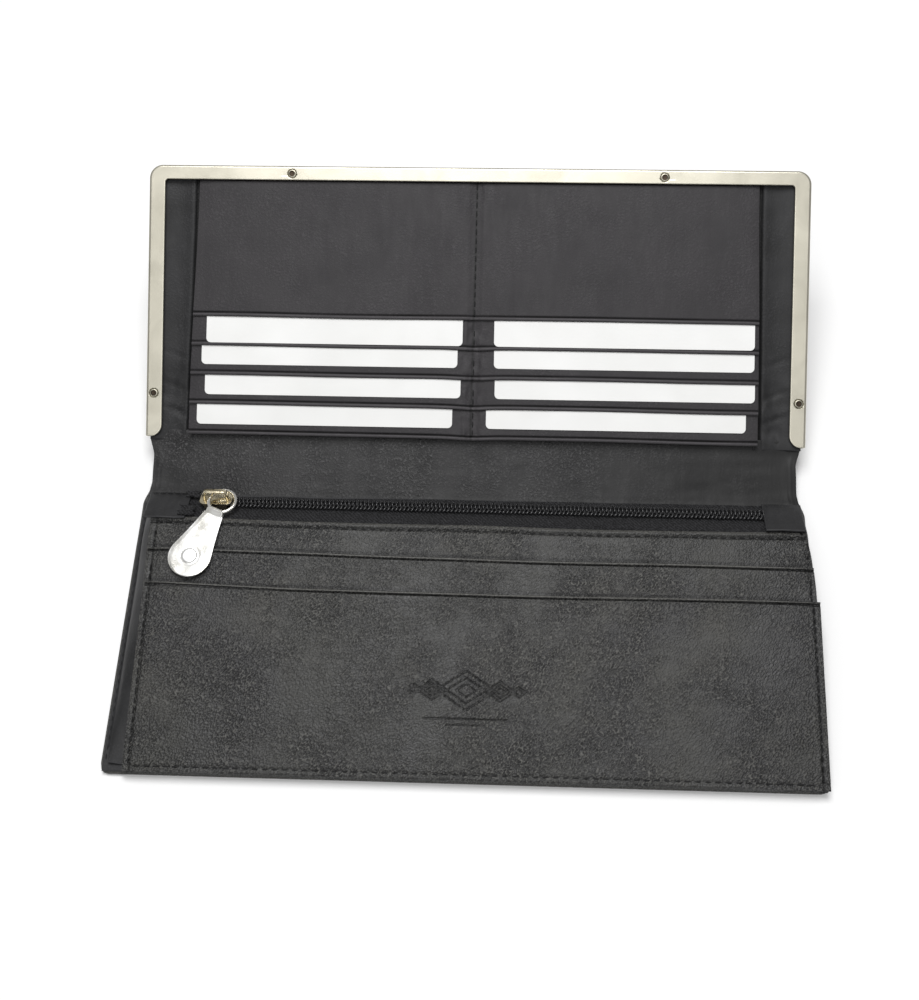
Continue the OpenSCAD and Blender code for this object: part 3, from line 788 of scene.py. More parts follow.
def right_edge(y, level):
    if level == 2:
        return 109.3 + 0 * y
    return 108.6 - 0.0028 * np.maximum(y - 2, 0) ** 2 + 0.1 * noise(y, level, 9, 6)


def rear_edge(x, level):
    """Where each pocket panel's folded edge runs: bowed, and higher on the left."""
    left, right = smooth_step(-x, 55, 105), smooth_step(x, 0, 105)
    if level == 0:
        line = PANEL_REAR + 1.3 * left - 0.6 * hump(x - 50, 40)
    elif level == 1:
        line = 16.4 - 0.008 * x + 0.6 * smooth_step(-x, -20, 60) + 0.6 * left + 0.6 * right
    else:
        line = 4.9 - 0.009 * x + 1.1 * left + right
    return line + 0.18 * noise(x, level * 7.0, 30, 9)


PANEL_STITCH_LEFT = -100.5
PANEL_STITCH_RIGHT = 107.4
PANEL_STITCH_FRONT = -50.3
PANEL_STITCH_REAR = 26.0
PANEL_REARS = (PANEL_REAR, 16.4, 4.9)
PANEL_LIFTS = (PANEL_T, 2 * PANEL_T, 2 * PANEL_T + 1)
PANEL_CREASE = 1.05
# A panel's grid runs from -1 to 1 in X. PANEL_MIDDLE + PANEL_HALF * X is close to its x in
# millimetres, and its bows and blotches are read at PANEL_SPAN * X.
PANEL_MIDDLE = 3.5
PANEL_HALF = 105.8
PANEL_SPAN = 105
RIM = PANEL_REAR - PANEL_STITCH_REAR
ORNAMENT_X = 0.8
ORNAMENT_Y = -25.2
# The lozenges' centres in x, half widths and half heights, then the rules' drops and half widths.
LOZENGES = [(ORNAMENT_X, 9.0, 6.0), (-9.6, 4.6, 3.1), (11.2, 4.6, 3.1), (-15.2, 2.3, 1.6),
            (16.8, 2.3, 1.6)]
RULES = [(8.6, 13.0), (10.4, 6.0)]


def ornament(x, y):
    """Depth of the pressed ornament: nested lozenges in a row over two rules."""
    depth = np.zeros(np.broadcast(x, y).shape)
    for centre, half_w, half_h in LOZENGES:
        size = abs(x - centre) / half_w + abs(y - ORNAMENT_Y) / half_h
        across = half_w * half_h / math.hypot(half_w, half_h)
        for ring in (1.0, 0.66, 0.33)[: 3 if half_w > 3 else 2]:
            depth = np.maximum(depth, hump((size - ring) * across, 0.24))
    for drop, half in RULES:
        inside = smooth_step(half - abs(x - ORNAMENT_X), 0, 0.4)
        depth = np.maximum(depth, hump(y - ORNAMENT_Y + drop, 0.24) * inside)
    return depth


def folded_edge(gap, roll, crease):
    """A turned edge: a roll of a given height along the fold, and the place of its crease."""
    return roll * hump(gap - 0.5 * crease, 0.42) - 0.40 * hump(gap - crease, 0.24)


def fold_wear_light_shade(gap, crease):
    """How a turned edge is painted: lighter on its roll, for wear and painted highlight, and dark with
    painted shade in its crease and underneath.
    """
    wear_and_painted_light = 1.5 * hump(gap - 0.55 * crease, 0.25)
    return wear_and_painted_light - 1.2 * hump(gap - crease, 0.3) - 1.2 * hump(gap, 0.22)


def panel_relief(x, y, level):
    gap = rear_edge(x, level) - y
    relief = 0.20 * noise(x, y, 21, 20 + level) + 0.06 * noise(x, y * 1.4, 7, 30 + level)
    inside = smooth_step(x + 101, 0, 5) * smooth_step(107 - x, 0, 5) * smooth_step(y + 51, 0, 5)
    relief = relief * inside * smooth_step(gap, 0, 3)
    for line in (x - PANEL_STITCH_LEFT, x - PANEL_STITCH_RIGHT, y - PANEL_STITCH_FRONT):
        relief = relief - 0.2 * hump(line, 0.45)
    if level == 0:
        relief = relief - 0.32 * hump(gap - RIM, 0.45)
        return relief - 0.45 * smooth_step(-gap, -1.2, 0.1) + 0.12 * hump(gap - 1.1, 0.5)
    lift = 0.5 * (0.7 + 0.3 * noise(x, level, 34, 41)) * hump(gap, 6) * inside
    relief = relief + folded_edge(gap, 0.2, PANEL_CREASE) + lift
    if level == 2:
        relief = relief - 0.28 * ornament(x, y)
    return relief


def panel_point(x, y, level):
    """A point on a panel's face."""
    x, y = np.broadcast_arrays(np.asarray(x, float), y)
    return np.stack([x, y, panel_z(y) + PANEL_LIFTS[level] + panel_relief(x, y, level)], -1)


def panel_row(x, y, level):
    """Row y of a panel's grid, bent so that the last row follows the folded edge."""
    return -FRONT + (y + FRONT) * (rear_edge(x, level) + FRONT) / (PANEL_REARS[level] + FRONT)


def panel(level, name, node, thickness, step, fine_x, fine_y):
    """A pocket panel. Its grid's X runs from -1 to 1 between the side edges, and fine_x and
    fine_y are more lines in millimetres."""
    rear = PANEL_REARS[level]
    around = [PANEL_STITCH_FRONT, rear - PANEL_CREASE] + ([PANEL_STITCH_REAR] if level == 0 else [])
    rows = np.unique(np.concatenate([lines(-FRONT, rear, step, 0.8, around), fine_y]))
    plain = lines(-102.3, 109.3, step, 0.8, (PANEL_STITCH_LEFT, PANEL_STITCH_RIGHT))
    shares = np.unique(np.clip((np.concatenate([plain, fine_x]) - PANEL_MIDDLE) / PANEL_HALF, -1, 1))
    columns = shares[np.concatenate([[True], np.diff(shares) > 1e-5])]

    def surface(X, Y):
        y = panel_row(X * PANEL_SPAN, Y, level)
        left, right = left_edge(y, level), right_edge(y, level)
        return panel_point((left + right) / 2 + X * (right - left) / 2, y, level)

    # Lighter on panel A's rim and on each fold's roll, for wear and painted highlight; dark with painted
    # shade in the stitch grooves, in the fold's crease and in the line just behind the next panel's
    # folded edge, where it casts its shadow; the pressed ornament is painted darker too.
    def wear_and_painted_light(X, Y):
        blotch = 0.85 + 0.15 * noise(X * PANEL_SPAN, Y, 9, 45 + level)
        x = PANEL_MIDDLE + PANEL_HALF * X
        groove = hump(x - PANEL_STITCH_LEFT, 0.4) + hump(x - PANEL_STITCH_RIGHT, 0.4)
        if level < 2:
            y = panel_row(X * PANEL_SPAN, Y, level)
            groove = groove + 1.2 * hump(y - rear_edge(x, level + 1) - 1.0, 0.42)
        if level == 0:
            groove = groove + hump(Y - PANEL_STITCH_REAR, 0.3)
            wear_light_shade = 0.5 * smooth_step(Y, PANEL_STITCH_REAR + 0.6, PANEL_STITCH_REAR + 1.4) * blotch
        else:
            wear_light_shade = fold_wear_light_shade(rear - Y, PANEL_CREASE) * blotch
        if level == 2:
            groove = groove + 1.1 * ornament(x, panel_row(x, Y, level))
        return np.clip(wear_light_shade - 0.85 * groove, -1, 1)

    leather(name, columns, rows, surface, thickness, "grained", "body", [node],
            wear_and_painted_light=wear_and_painted_light)


panel(0, "pocket_panel_a", "pocket_panel_rear", PANEL_T - 0.05, 1.5, (), np.arange(16.6, 20.2, 0.3))
panel(1, "pocket_panel_b", "pocket_panel_middle", PANEL_T - 0.05, 1.5, (), np.arange(5.0, 8.6, 0.3))
panel(2, "pocket_panel_c", "pocket_panel_front", 0.95, 1.25,
      np.arange(-18.2, 19.8, 0.22), np.arange(ORNAMENT_Y - 11.4, ORNAMENT_Y + 6.9, 0.22))


def block_run(x, y, level):
    """A row of stitches in a pocket panel."""
    return panel_point(x, y, level), PANEL.n


block_runs = []
for side_x, shift in ((PANEL_STITCH_LEFT, 0.0), (PANEL_STITCH_RIGHT, -0.4)):
    block_runs += [block_run(side_x, np.linspace(-50.0, 3.4, 60), 2),
                   block_run(side_x + shift, np.linspace(7.0, 14.6, 60), 1),
                   block_run(side_x + 1.5 * shift, np.linspace(18.6, 25.0, 60), 0)]
rear_x = np.linspace(-101.0, 105.6, 120)
block_runs += [block_run(np.linspace(-99.2, 106.4, 120), PANEL_STITCH_FRONT, 2),
               block_run(rear_x, rear_edge(rear_x, 0) - RIM, 0)]
stitches("block_stitches", block_runs, "body")


cover_y = np.linspace(-48.5, 37.0, 50)
seams = [np.stack(np.broadcast_arrays(side * (COVER_HALF - SEAM_INSET), cover_y, COVER_T + 0.42), -1)
         for side in (-1, 1)]
stitches("cover_stitches", [(seam, (0, 0, 1)) for seam in seams], "body")


def ruled(name, node, side, foot, head, thickness, bulge):
    """A leather wall between two edges that run from front to rear. It bulges along the given
    direction, and side is -1 for a wall on the left."""
    count = 60
    low, high = smooth_path(foot[::side], count), smooth_path(head[::side], count)
    width = float(np.linalg.norm(high - low, axis=1).mean())
    length = float(np.linalg.norm(low[-1] - low[0]))
    along = np.linspace(0, length, count)

    def surface(X, S):
        index = np.clip(X / length * (count - 1), 0, count - 1)
        share = (S / width)[..., None]
        a, b = (on_path(edge, np.arange(count), index) for edge in (low, high))
        swell = np.sin(np.pi * share) * (1 + 0.3 * noise(X, S * 2, 9, 52)[..., None])
        return a * (1 - share) + b * share + swell * np.asarray(bulge, float)

    leather(name, along, lines(0, width, width / 16, 0.5), surface, thickness, "gusset", "body",
            [node])


for node, side, foot_x, head_x in (("body_gusset_left", -1, -107.1, -102.2),
                                   ("body_gusset_right", 1, 108.0, 106.9)):
    foot = [(foot_x, y, LINING_TOP - 0.1) for y in (-49, -30, 0, 20, 38.4)]
    head = [(head_x, y, panel_z(y) + 0.25) for y in (-49.5, -30, 0, 20, 27.5)]
    head.append((head_x - side, 38.6, 9.3))
    ruled(node + "_wall", node, side, foot, head, 0.7, (side * 0.7, 0, 0.3))

POUCH_FLOOR_FRONT = -30.0
REAR_WALL_Y = 38.7


def pouch_back_surface(X, Y):
    path = smooth_path([(0, POUCH_FLOOR_FRONT, 4.4), (0, 0, 5.0), (0, 34, 6.2), (0, 37.6, 6.7),
                        (0, REAR_WALL_Y - 0.1, 7.6), (0, REAR_WALL_Y, 9.25)], 200)
    index = np.clip(Y, 0, 1) * 199
    y = np.interp(index, np.arange(200), path[:, 1])
    z = np.interp(index, np.arange(200), path[:, 2])
    return np.stack([X, y, z + 0.05 * noise(X, y, 16, 60)], -1)


leather("pouch_rear_leather", lines(POUCH_LEFT, POUCH_RIGHT, 4, 0.6),
        np.unique(np.concatenate([np.linspace(0, 0.8, 14), np.linspace(0.8, 1, 12)])),
        pouch_back_surface, 0.7, "lining", "body", ["pouch_back"], ["front", "rear"])
leather("pouch_front_leather", lines(POUCH_LEFT, POUCH_RIGHT, 6, 0.6), lines(-30.2, 28.0, 4, 0.5),
        lambda X, Y: np.stack([X, Y, panel_z(Y) - 0.05], -1), 0.7, "lining", "body",
        ["pouch_front"])
for node, side, x in (("pouch_gusset_left", -1, POUCH_LEFT + 0.6),
                      ("pouch_gusset_right", 1, POUCH_RIGHT - 0.6)):
    foot = [(x, y, z) for y, z in ((-20, 5.0), (0, 5.2), (20, 5.7), (37.8, 6.6))]
    head = [(x, y, z) for y, z in ((-20, 5.7), (0, 8.4), (20, 11.2), (28, 12.3), (37.8, 8.9))]
    ruled(node + "_fold", node, side, foot, head, 0.5, (-side * 0.8, 0, 0))

# ---- zip ----

COIL_T = 8.0
TAPE_REAR = 12.4
COIL_PITCH = 1.28
END_TAB_REAR = 12.3


def coil_middle(x):
    """The coil's line leans a little towards the front on the right."""
    return COIL_T - 0.0055 * (x - COIL_LEFT)


def tape_surface(X, T):
    n = 0.05 * noise(X, T * 2, 11, 70) - 0.25 * hump(np.abs(T - coil_middle(X)) - 3.2, 0.9)
    return ZIP.at(X, T, n - 1.2 * smooth_step(-T, -0.6, 1.2))


leather("zip_tape_front_weave", lines(POUCH_LEFT, POUCH_RIGHT, 1.6, 0.5), lines(-1.2, 7.4, 0.4, 0.3),
        tape_surface, 0.45, "tape", "body", ["zip_tape_front"])
leather("zip_tape_rear_weave", lines(POUCH_LEFT, POUCH_RIGHT, 1.6, 0.5),
        lines(7.6, TAPE_REAR, 0.4, 0.3), tape_surface, 0.45, "tape", "body",
        ["zip_tape_rear"])


def coil(side):
    """One row of the zip: a nylon coil of flat loops, with its legs on the tape."""
    turns = int((COIL_RIGHT - COIL_LEFT) / COIL_PITCH)
    steps = 14
    angle = np.arange(turns * steps + 1) * 2 * math.pi / steps
    x = COIL_LEFT + COIL_PITCH * (angle / (2 * math.pi) + (0.5 if side > 0 else 0))
    lean = 0.22 * COIL_PITCH * np.sin(angle)
    t = coil_middle(x) + side * (1.02 + 1.22 * np.cos(angle))
    n = 0.72 + 0.42 * np.sin(angle) + 0.1 * np.cos(angle)
    keep = x < COIL_RIGHT
    return tube(ZIP.at(x + lean, t, n)[keep], 0.27, 6)


for side, node in ((-1, "zip_coil_front"), (1, "zip_coil_rear")):
    verts, faces = coil(side)
    add(node + "_loops", verts, faces, "coil", "body", [node], 80)


coil_x = np.linspace(COIL_LEFT + 1, COIL_RIGHT - 0.5, 240)
coil_runs = [(ZIP.at(coil_x, coil_middle(coil_x) + offset, 1.12), ZIP.n) for offset in (-1.55, 1.55)]
stitches("coil_stitches", coil_runs, "body", pitch=COIL_PITCH * 2, width=0.34)


def end_tab(left, right, front, seed):
    """Leather over one end of the zip, a little swollen over the coil's end."""

    def surface(X, T):
        edge = np.minimum(np.minimum(X - left, right - X), np.minimum(T - front, END_TAB_REAR - T))
        n = 0.9 + 0.35 * smooth_step(edge, 0, 2.6) + 0.12 * noise(X, T, 4.5, seed)
        n = n + 0.25 * hump(T - COIL_T, 2.4) * smooth_step(edge, 0, 1.5)
        return ZIP.at(X, T, n + 0.2 * smooth_step(-T, -1.2, 0.6))

    return surface


for side, left, right, front, seed in (("right", 93.9, 106.5, -0.6, 71),
                                       ("left", -104.9, -91.3, -0.4, 72)):
    leather(f"zip_tab_{side}_leather", lines(left, right, 0.6, 0.5), lines(front, END_TAB_REAR, 0.6, 0.5),
            end_tab(left, right, front, seed), 0.75, "gusset", "body",
            [f"zip_tab_{side}"])


def tape_end(seed, left, right, high):
    """A turned-over end of the tape beside the slider, with rough edges."""

    def surface(X, T):
        ragged = 1.1 * noise(T * 3, seed, 1.3, seed) * smooth_step(X, right - 2.5, right)
        ragged = ragged - 0.9 * noise(T * 3, seed, 1.1, seed + 3) * smooth_step(-X, -left - 2, -left)
        n = high + 0.28 * noise(X, T, 1.6, seed + 1) + 0.12 * noise(X, T, 0.6, seed + 2)
        return ZIP.at(X + ragged, T, n)

    return surface


for index, (front, rear, left, right, high) in enumerate(
        ((0.5, 5.4, -93.6, -88.9, 1.5), (9.4, 12.4, -92.8, -88.4, 1.55))):
    leather(f"zip_tape_end_{index + 1}", lines(left, right, 0.3, 0.3), lines(front, rear, 0.3, 0.3),
            tape_end(80 + 5 * index, left, right, high), 0.6, "tape", "body")
tab_run = np.linspace(-104.2, -92.2, 30)
stitches("zip_tab_stitches", [(ZIP.at(tab_run, 11.1, 1.32), ZIP.n)], "body", 2.4)

# ---- slider, ring and pull tab ----

bevelled("slider_body", 0.28, "gold")
bevelled("slider_bridge", 0.32, "gold")
turn = np.linspace(0, 2 * math.pi, 120, endpoint=False)
tilt = math.radians(RING_TILT)
ring_line = RING_CENTRE + RING_R * np.stack(
    [np.cos(turn), np.sin(turn) * math.cos(tilt), np.sin(turn) * math.sin(tilt)], -1)
verts, faces = tube(ring_line, RING_WIRE_R, 20, True)
add("pull_ring_wire", verts, faces, "ring", "ring", ["pull_ring"], 80)

heading, slope = math.radians(TAB_HEADING), math.radians(TAB_SLOPE)
tab_flat = np.array([math.cos(heading), math.sin(heading), 0])
TAB_ROOT = RING_CENTRE + RING_R * np.array(
    [tab_flat[0], tab_flat[1], tab_flat[1] * math.tan(tilt)])
TAB_U = math.cos(slope) * tab_flat - math.sin(slope) * np.array([0, 0, 1.0])
TAB_V = np.array([-math.sin(heading), math.cos(heading), 0])
TAB_N = np.cross(TAB_U, TAB_V)


def on_tab(u, v, n):
    u, v, n = np.broadcast_arrays(np.asarray(u, float), v, n)
    return TAB_ROOT + u[..., None] * TAB_U + v[..., None] * TAB_V + n[..., None] * TAB_N


def tab_half(u, inset):
    """Half width of the tab: a neck that widens to a round end."""
    flank = math.asin((TAB_END_R - TAB_NECK) / TAB_L)
    touch = TAB_L - TAB_END_R * math.sin(flank)
    straight = TAB_NECK + (TAB_END_R * math.cos(flank) - TAB_NECK) * np.clip(u / touch, 0, 1)
    straight = straight - 0.21 * np.sin(np.pi * np.clip(u / touch, 0, 1))
    circle = np.sqrt(np.maximum(TAB_END_R**2 - (u - TAB_L) ** 2, 0))
    return np.maximum(np.where(u < touch, straight, circle) - inset, 0.05)


def tab_mesh(name, inset, top, look, node, puff):
    """One layer of the tab, from the ring to the round end, puffed up inside its rim."""
    last = TAB_L + TAB_END_R - inset
    shares = np.array([-1, -0.985, -0.95, -0.88, *np.linspace(-0.8, 0.8, 33), 0.88, 0.95, 0.985, 1])

    def surface(U, S):
        u = last - (last - 1.1) * np.clip(1 - U, 0, 1) ** 1.6
        half = tab_half(u, inset)
        v = S * half
        n = top + puff * (smooth_step(half - np.abs(v), 0, 1.2) - 1)
        rivet = np.hypot(u - TAB_L, v)
        n = n - 0.8 * puff * hump(rivet - 2.95, 0.32) + 0.05 * noise(u, v, 2.6, 90)
        return on_tab(u, v, n)

    leather(name, np.linspace(0, 1, 64), shares, surface, 0.5, look, "pull_tab", [node],
            ["left", "right", "front", "rear"])


tab_mesh("pull_tab_silver", 0.0, 0.28, "silver", "pull_tab_face", 0.16)
tab_mesh("pull_tab_black", 0.12, -0.24, "backing", "pull_tab_backing", 0.1)


def loop_surface(A, V):
    """The neck of the tab, wrapped over the ring's wire and back under."""
    angle = math.pi * (A - 0.5)
    u = 0.55 - (LOOP_R + 0.35) * np.cos(angle)
    n = np.where(angle > 0, 0.95, 1.0) * LOOP_R * np.sin(angle) - 0.05
    reach = np.clip(np.abs(A - 0.5) * 2, 0, 1)
    half = 2.35 + 0.55 * smooth_step(reach, 0.35, 1.0)
    u = u + 1.2 * smooth_step(reach, 0.8, 1.0)
    n = n - 0.855 * np.sign(angle) * smooth_step(reach, 0.75, 1.0)
    return on_tab(u, V * half, n)


leather("pull_tab_loop", np.linspace(0.0, 1.0, 40), lines(-1, 1, 0.12, 0.1),
        loop_surface, 0.45, "silver", "pull_tab")
CAP = [(0.01, 0.6), (1.0, 0.59), (1.8, 0.57), (2.15, 0.53), (2.36, 0.42), (2.47, 0.28), (2.5, 0.12),
       (2.5, 0.0), (0.01, 0.0)]
verts, faces = lathe([(r, h + CAP_FOOT) for r, h in reversed(CAP)],
                     lambda x, y, z: on_tab(TAB_L + x, y, z))
add("pull_rivet_cap", verts, faces, "cap", "pull_tab", ["pull_rivet"], 50)

# ---- lid: frame, lining and gussets ----

FRAME_R = 4.5
RAIL_SIDE = 5.5
RAIL_TOP = 4.8
INNER_R = 1.0
END_R = 4.0
LIP_W = 3.6
BEND_R = 0.8
BACK_R = 0.6
SIDE_RUN = LID_L - FRAME_R
CORNER_RUN = 0.5 * math.pi * FRAME_R
TOP_RUN = COVER_HALF - FRAME_R
HALF_RUN = SIDE_RUN + CORNER_RUN + TOP_RUN
FLAT = RAIL_SIDE - BEND_R
SIDE_T = LID_DEPTH - BEND_R - BACK_R
SCREW_HOLE_R = 1.6
SCREW_HOLE_DEPTH = 0.5


def frame_run(s):
    """The frame's outer edge in plan, its direction inwards, and the rail's inner edge.
    s runs from the left rail's free end over the top to the right rail's free end."""
    side = np.where(s < HALF_RUN, -1.0, 1.0)
    t = np.minimum(s, 2 * HALF_RUN - s)
    turn = np.clip((t - SIDE_RUN) / FRAME_R, 0, 0.5 * math.pi)
    top = np.clip(t - SIDE_RUN - CORNER_RUN, 0, TOP_RUN)
    rise = np.clip(t, 0, SIDE_RUN)
    inwards = np.stack([-np.cos(turn) * side, -np.sin(turn)], -1)
    outer = np.stack([(TOP_RUN - top + FRAME_R * np.cos(turn)) * side,
                      rise + FRAME_R * np.sin(turn)], -1)
    end = END_R - np.sqrt(END_R**2 - np.clip(END_R - rise, 0, END_R) ** 2)
    inner_x = COVER_HALF - RAIL_SIDE - INNER_R
    inner_u = LID_L - RAIL_TOP - INNER_R
    inner = np.stack([(inner_x * (1 - top / TOP_RUN) + INNER_R * np.cos(turn) + end) * side,
                      inner_u * rise / SIDE_RUN + INNER_R * np.sin(turn)], -1)
    return outer, inwards, inner


def plate_surface(S, W):
    """The frame's face, from the rail's inner edge over the bend to its side."""
    outer, inwards, inner = frame_run(S)
    bend = np.clip((W - FLAT) / BEND_R, 0, 0.5 * math.pi)
    rim = outer + inwards * (BEND_R * (1 - np.sin(bend)))[..., None]
    share = np.clip(W / FLAT, 0, 1)[..., None]
    place = inner + (rim - inner) * share
    n = BEND_R * (np.cos(bend) - 1)
    for screw_x, screw_u in SCREWS:
        distance = np.hypot(place[..., 0] - screw_x, place[..., 1] - screw_u)
        n = n - SCREW_HOLE_DEPTH * smooth_step(SCREW_HOLE_R - distance, 0, 0.18)
    return LID.at(place[..., 0], place[..., 1], n)


def channel_surface(S, W):
    """The frame's side, and the lip that holds the leather from behind."""
    outer, inwards, _ = frame_run(S)
    bend = np.clip((W - SIDE_T) / BACK_R, 0, 0.5 * math.pi)
    lip = np.clip(W - SIDE_T - 0.5 * math.pi * BACK_R, 0, LIP_W)
    place = outer + inwards * (BACK_R * (1 - np.cos(bend)) + lip)[..., None]
    n = -BEND_R - np.clip(W, 0, SIDE_T) - BACK_R * np.sin(bend)
    return LID.at(place[..., 0], place[..., 1], n)


half_steps = np.concatenate([
    np.linspace(0, 0.5, 5), np.linspace(0.8, END_R, 10), np.linspace(5, 12, 5),
    np.linspace(12.4, 16.8, 24), np.linspace(18, 84, 14), np.linspace(85, SIDE_RUN + CORNER_RUN + 1, 24),
    np.linspace(97, 132, 8), np.linspace(134.6, 138.4, 20), np.linspace(142, HALF_RUN, 10)])
frame_steps = np.unique(np.concatenate([half_steps, 2 * HALF_RUN - half_steps]))
leather("frame_plate_face", frame_steps,
        np.unique(np.concatenate([np.linspace(0, 0.4, 5), np.linspace(0.6, 4.6, 22),
                                  np.linspace(FLAT, FLAT + 0.5 * math.pi * BEND_R, 7)])),
        plate_surface, 0.72, "frame", "lid", ["frame_plate"], ["rear"])
leather("frame_channel_side", frame_steps,
        np.concatenate([np.linspace(0, SIDE_T, 6),
                        np.linspace(SIDE_T, SIDE_T + 0.5 * math.pi * BACK_R, 6)[1:],
                        SIDE_T + 0.5 * math.pi * BACK_R + np.array([0.8, 1.6, 2.4, 2.7, 2.9, 3.0])]),
        channel_surface, 0.72, "frame", "lid", ["frame_channel"], ["front"])
HEAD = [(0.01, -0.55), (1.38, -0.55), (1.38, -0.12), (1.3, 0.0), (1.15, 0.07), (0.98, 0.09),
        (0.9, 0.03), (0.82, -0.25), (0.01, -0.3)]
HEAD_SIDES = 28
heads = [lathe(HEAD, lambda x, y, z, sx=sx, su=su: LID.at(sx + x, su + y, z), HEAD_SIDES)
         for sx, su in SCREWS]
verts, faces = joined(heads)
# The inner part of each head, its recess, is painted dark brown: painted shade.
recess_shade = [-1.0 if r < 0.95 and n > -0.5 else 0.0 for r, n in HEAD]
add("frame_screw_heads", verts, faces, "screw", "lid", ["frame_screws"], 40,
    np.tile(np.repeat(recess_shade, HEAD_SIDES), len(SCREWS)))
leather("lid_lining_leather", lines(-LID_HALF, LID_HALF, 5, 0.5), lines(0, 88.5, 5, 0.5),
        lambda X, U: LID.at(X, U, 0.05 * noise(X, U, 20, 100) - 4.65), 0.4, "lining", "lid",
        ["lid_lining"])


GUSSET_INNER = 92.0
GUSSET_OUTER = 108.4
GUSSET_SEAM = 93.9


def block_edge(u, side):
    """The card block's side edge, which splays towards the spine on the left."""
    return 93.0 + (1.0 if side > 0 else 2.2) * smooth_step(-u, -84, 4)


def lid_gusset_surface(side):
    def surface(X, U):
        share = (side * X - GUSSET_INNER) / (GUSSET_OUTER - GUSSET_INNER)
        inner_x = block_edge(U, side) - 1.4
        x = side * (inner_x + share * (GUSSET_OUTER - inner_x))
        n = -1.55 - 0.75 * np.sin(np.pi * np.clip((share - 0.1) / 0.72, 0, 1))
        n = n - 1.1 * hump(share - 0.115, 0.05)
        low = smooth_step(-U, -34, -2)
        n = n + (0.10 + 0.4 * low) * noise(x, U * 1.3, 6.5, 110 + side)
        n = n + low * 0.25 * noise(x * 1.5, U, 2.8, 115 + side)
        for fold_u, depth in ((9.0, 0.5), (17.0, 0.35), (27.5, 0.25)):
            slant = U - fold_u - 0.35 * (side * X - 99)
            n = n - depth * hump(slant, 0.8) * hump(share - 0.45, 0.35)
        return LID.at(x, U, n)

    return surface


for side, name in ((-1, "left"), (1, "right")):
    columns = np.sort(side * lines(GUSSET_INNER, GUSSET_OUTER, 0.7, 0.5, (GUSSET_SEAM,), 1.4))
    bend = ("lid", "card_block", tuple(LID.at(side * 104, 40, 0)), tuple(LID.at(side * 95, 40, 0)))
    # The seam by the card block's edge is painted dark: painted shade.
    leather(f"lid_gusset_{name}_fold", columns, lines(-1.0, 88.5, 0.9, 0.6), lid_gusset_surface(side),
            0.5, "gusset", bend, [f"lid_gusset_{name}"],
            wear_and_painted_light=lambda X, U: -hump(np.abs(X) - GUSSET_SEAM, 0.8))

# ---- card block ----

POCKET_CREASE = 1.4
BLOCK_HALF = 94
# The panel under the four card pockets counts as the fifth.
BASE = 4
# Where the two cards of each pocket start and end in x.
CARD_SPANS = [((-89.4, -3.8), (6.6, 92.2)), ((-91.0, -5.4), (6.7, 92.3)), ((-89.8, -4.2), (7.1, 92.7)),
              ((-92.4, -6.8), (4.4, 90.0))]


def pocket_top(x, v, k):
    """Height of pocket k's face: it lies over its cards, and dips at the middle seam."""
    gap = v - mouth_line(x, k)
    over = 0.0
    for left, right in CARD_SPANS[k] if k < BASE else ():
        over = over + smooth_step(x, left - 1.5, left + 1) * smooth_step(-x, -right - 1.5, -right + 1)
    n = -k * LEVEL + 0.10 * over - 0.30 * hump(x, 2.2) + 0.10 * hump(np.abs(x) - 2.6, 1.0)
    n = n + folded_edge(gap, 0.07, POCKET_CREASE) * (0.8 if k < BASE else 1.0)
    pucker = hump(x, 6.0) * (0.24 if k else 0.05)
    n = n + pucker * noise(x, v * 0.8, 1.5, 120 + k) + 0.06 * noise(x, v, 16, 125 + k)
    return n + (0.05 * noise(x, v, 5, 130 + k) if k else 0.0)


def mouth_line(x, k):
    """The line of a pocket's folded mouth along the slope, slightly bowed."""
    bow = 0.25 * noise(x, 9.0 * k, 40, 140) - 0.35 * hump(x, 7.0) * (k > 0)
    return MOUTHS[k] - MOUTHS[0] - 0.0022 * (x + BLOCK_HALF) + bow


def block_panel(k, node):
    """A card pocket, or the panel under them all. X runs from -1 to 1 between the side edges."""
    low, high = MOUTHS[k] - MOUTHS[0], POCKET_TOPS[k] - MOUTHS[0]
    columns = lines(-BLOCK_HALF, BLOCK_HALF, 1.3, 0.6, (-2.6, 0, 2.6)) / BLOCK_HALF
    rows = lines(low, high, 1.3, 0.7, (low + POCKET_CREASE,))

    def surface(X, V):
        mouth = mouth_line(X * BLOCK_HALF, k)
        v = mouth + (V - low) * (high - mouth) / (high - low)
        left, right = -block_edge(v + MOUTHS[0], -1), block_edge(v + MOUTHS[0], 1)
        x = (left + right) / 2 + X * (right - left) / 2
        return CARDS.at(x, v, pocket_top(x, v, k))

    # Lighter on each mouth's roll, for wear and painted highlight, and in patches by the middle seam;
    # dark with painted shade in the mouth's crease, under its edge and along the middle seam.
    def wear_and_painted_light(X, V):
        x = X * BLOCK_HALF
        wear_light_shade = fold_wear_light_shade(V - low, POCKET_CREASE) * (0.7 + 0.3 * noise(x, k, 11, 150 + k))
        rumpled = 0.35 * hump(x, 7.0) * np.abs(noise(x, V, 1.2, 155 + k)) * (k > 0)
        return np.clip(wear_light_shade + rumpled - 0.9 * hump(x, 0.4), -1, 1)

    leather(node + "_panel", columns, rows, surface, POCKET_T, "smooth", "card_block",
            [node], wear_and_painted_light=wear_and_painted_light)


for k in range(BASE):
    block_panel(k, f"card_pocket_{k + 1}")
block_panel(BASE, "card_base")


CARD_R = 1.5
CARD_EDGE = 0.06


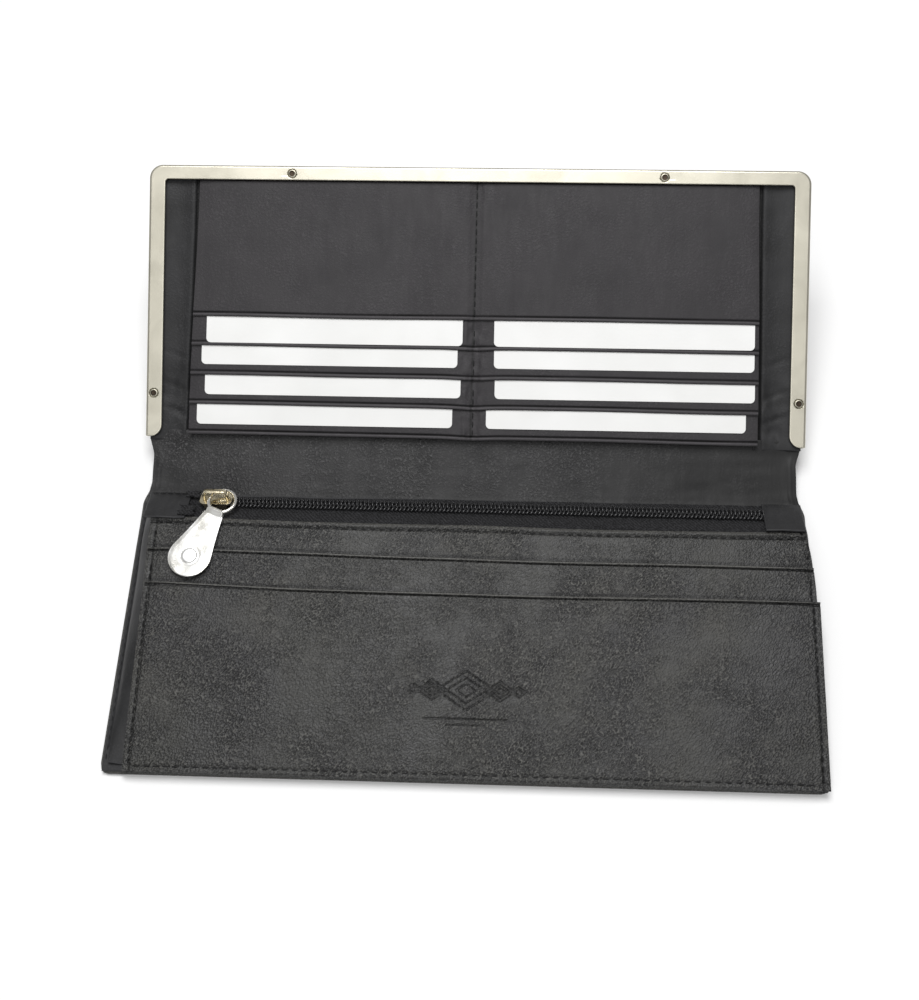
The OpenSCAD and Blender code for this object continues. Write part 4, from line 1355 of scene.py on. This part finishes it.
def card_sheet(node):
    """A card with small round corners, as large as its CAD node."""
    source = frame["nodes"][node]
    corners = np.array([source.matrix_world @ v.co for v in source.data.vertices]) / MM - CARDS.origin
    spans = [(float(np.min(corners @ axis)), float(np.max(corners @ axis)))
             for axis in (np.array([1.0, 0, 0]), CARDS.u, CARDS.n)]
    (x0, x1), (v0, v1), (n0, n1) = spans
    verts = []
    for inset, n in ((CARD_EDGE, n0), (0, n0 + CARD_EDGE), (0, n1 - CARD_EDGE), (CARD_EDGE, n1)):
        for quarter, (x, v) in enumerate(((x1, v1), (x0, v1), (x0, v0), (x1, v0))):
            centre_x = x - math.copysign(CARD_R, x - (x0 + x1) / 2)
            centre_v = v - math.copysign(CARD_R, v - (v0 + v1) / 2)
            for turn in np.linspace(0, 0.5 * math.pi, 9) + 0.5 * math.pi * quarter:
                verts.append(CARDS.at(centre_x + (CARD_R - inset) * math.cos(turn),
                                      centre_v + (CARD_R - inset) * math.sin(turn), n))
    add(node + "_sheet", verts, ring_faces(len(verts) // 4, 4), "card", source["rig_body"],
        [node], 30)


for row in range(1, 5):
    for side in ("left", "right"):
        card_sheet(f"card_{side}_{row}")



def middle_run(start, end, count, k):
    """Stitches along the middle seam of pocket k."""
    v = np.linspace(start - MOUTHS[0], end - MOUTHS[0], count)
    return CARDS.at(0, v, pocket_top(0 * v, v, k) + 0.1), CARDS.n


seam_ends = [POCKET_TOPS[0]] + [mouth - 0.9 for mouth in MOUTHS]
middle_runs = [middle_run(MOUTHS[k] + 0.9, seam_ends[k], 60, k) for k in range(BASE)]
middle_runs.append(middle_run(1.6, seam_ends[BASE], 30, BASE))
stitches("card_block_stitches", middle_runs, "card_block")

# ---- the board keeps its CAD shape ----

board = frame["nodes"]["back_board"].data
board.materials.clear()
board.materials.append(LOOKS["board"])

# ---- floor and light ----

bpy.ops.mesh.primitive_plane_add(size=6, location=(0, 0, 0))
floor = bpy.context.object
floor.name = "floor"
floor.data.materials.append(floor_look())

world = bpy.data.worlds.new("studio")
bpy.context.scene.world = world
world.use_nodes = True
background = world.node_tree.nodes["Background"]
background.inputs["Color"].default_value = (1, 1, 1, 1)
background.inputs["Strength"].default_value = 0.38
area_light("overhead", (-0.03, 0.28, 1.0), 0.5, 6.8)
area_light("front", (-0.05, -0.45, 0.95), 0.75, 2.5)
bpy.context.scene.view_settings.view_transform = "Standard"
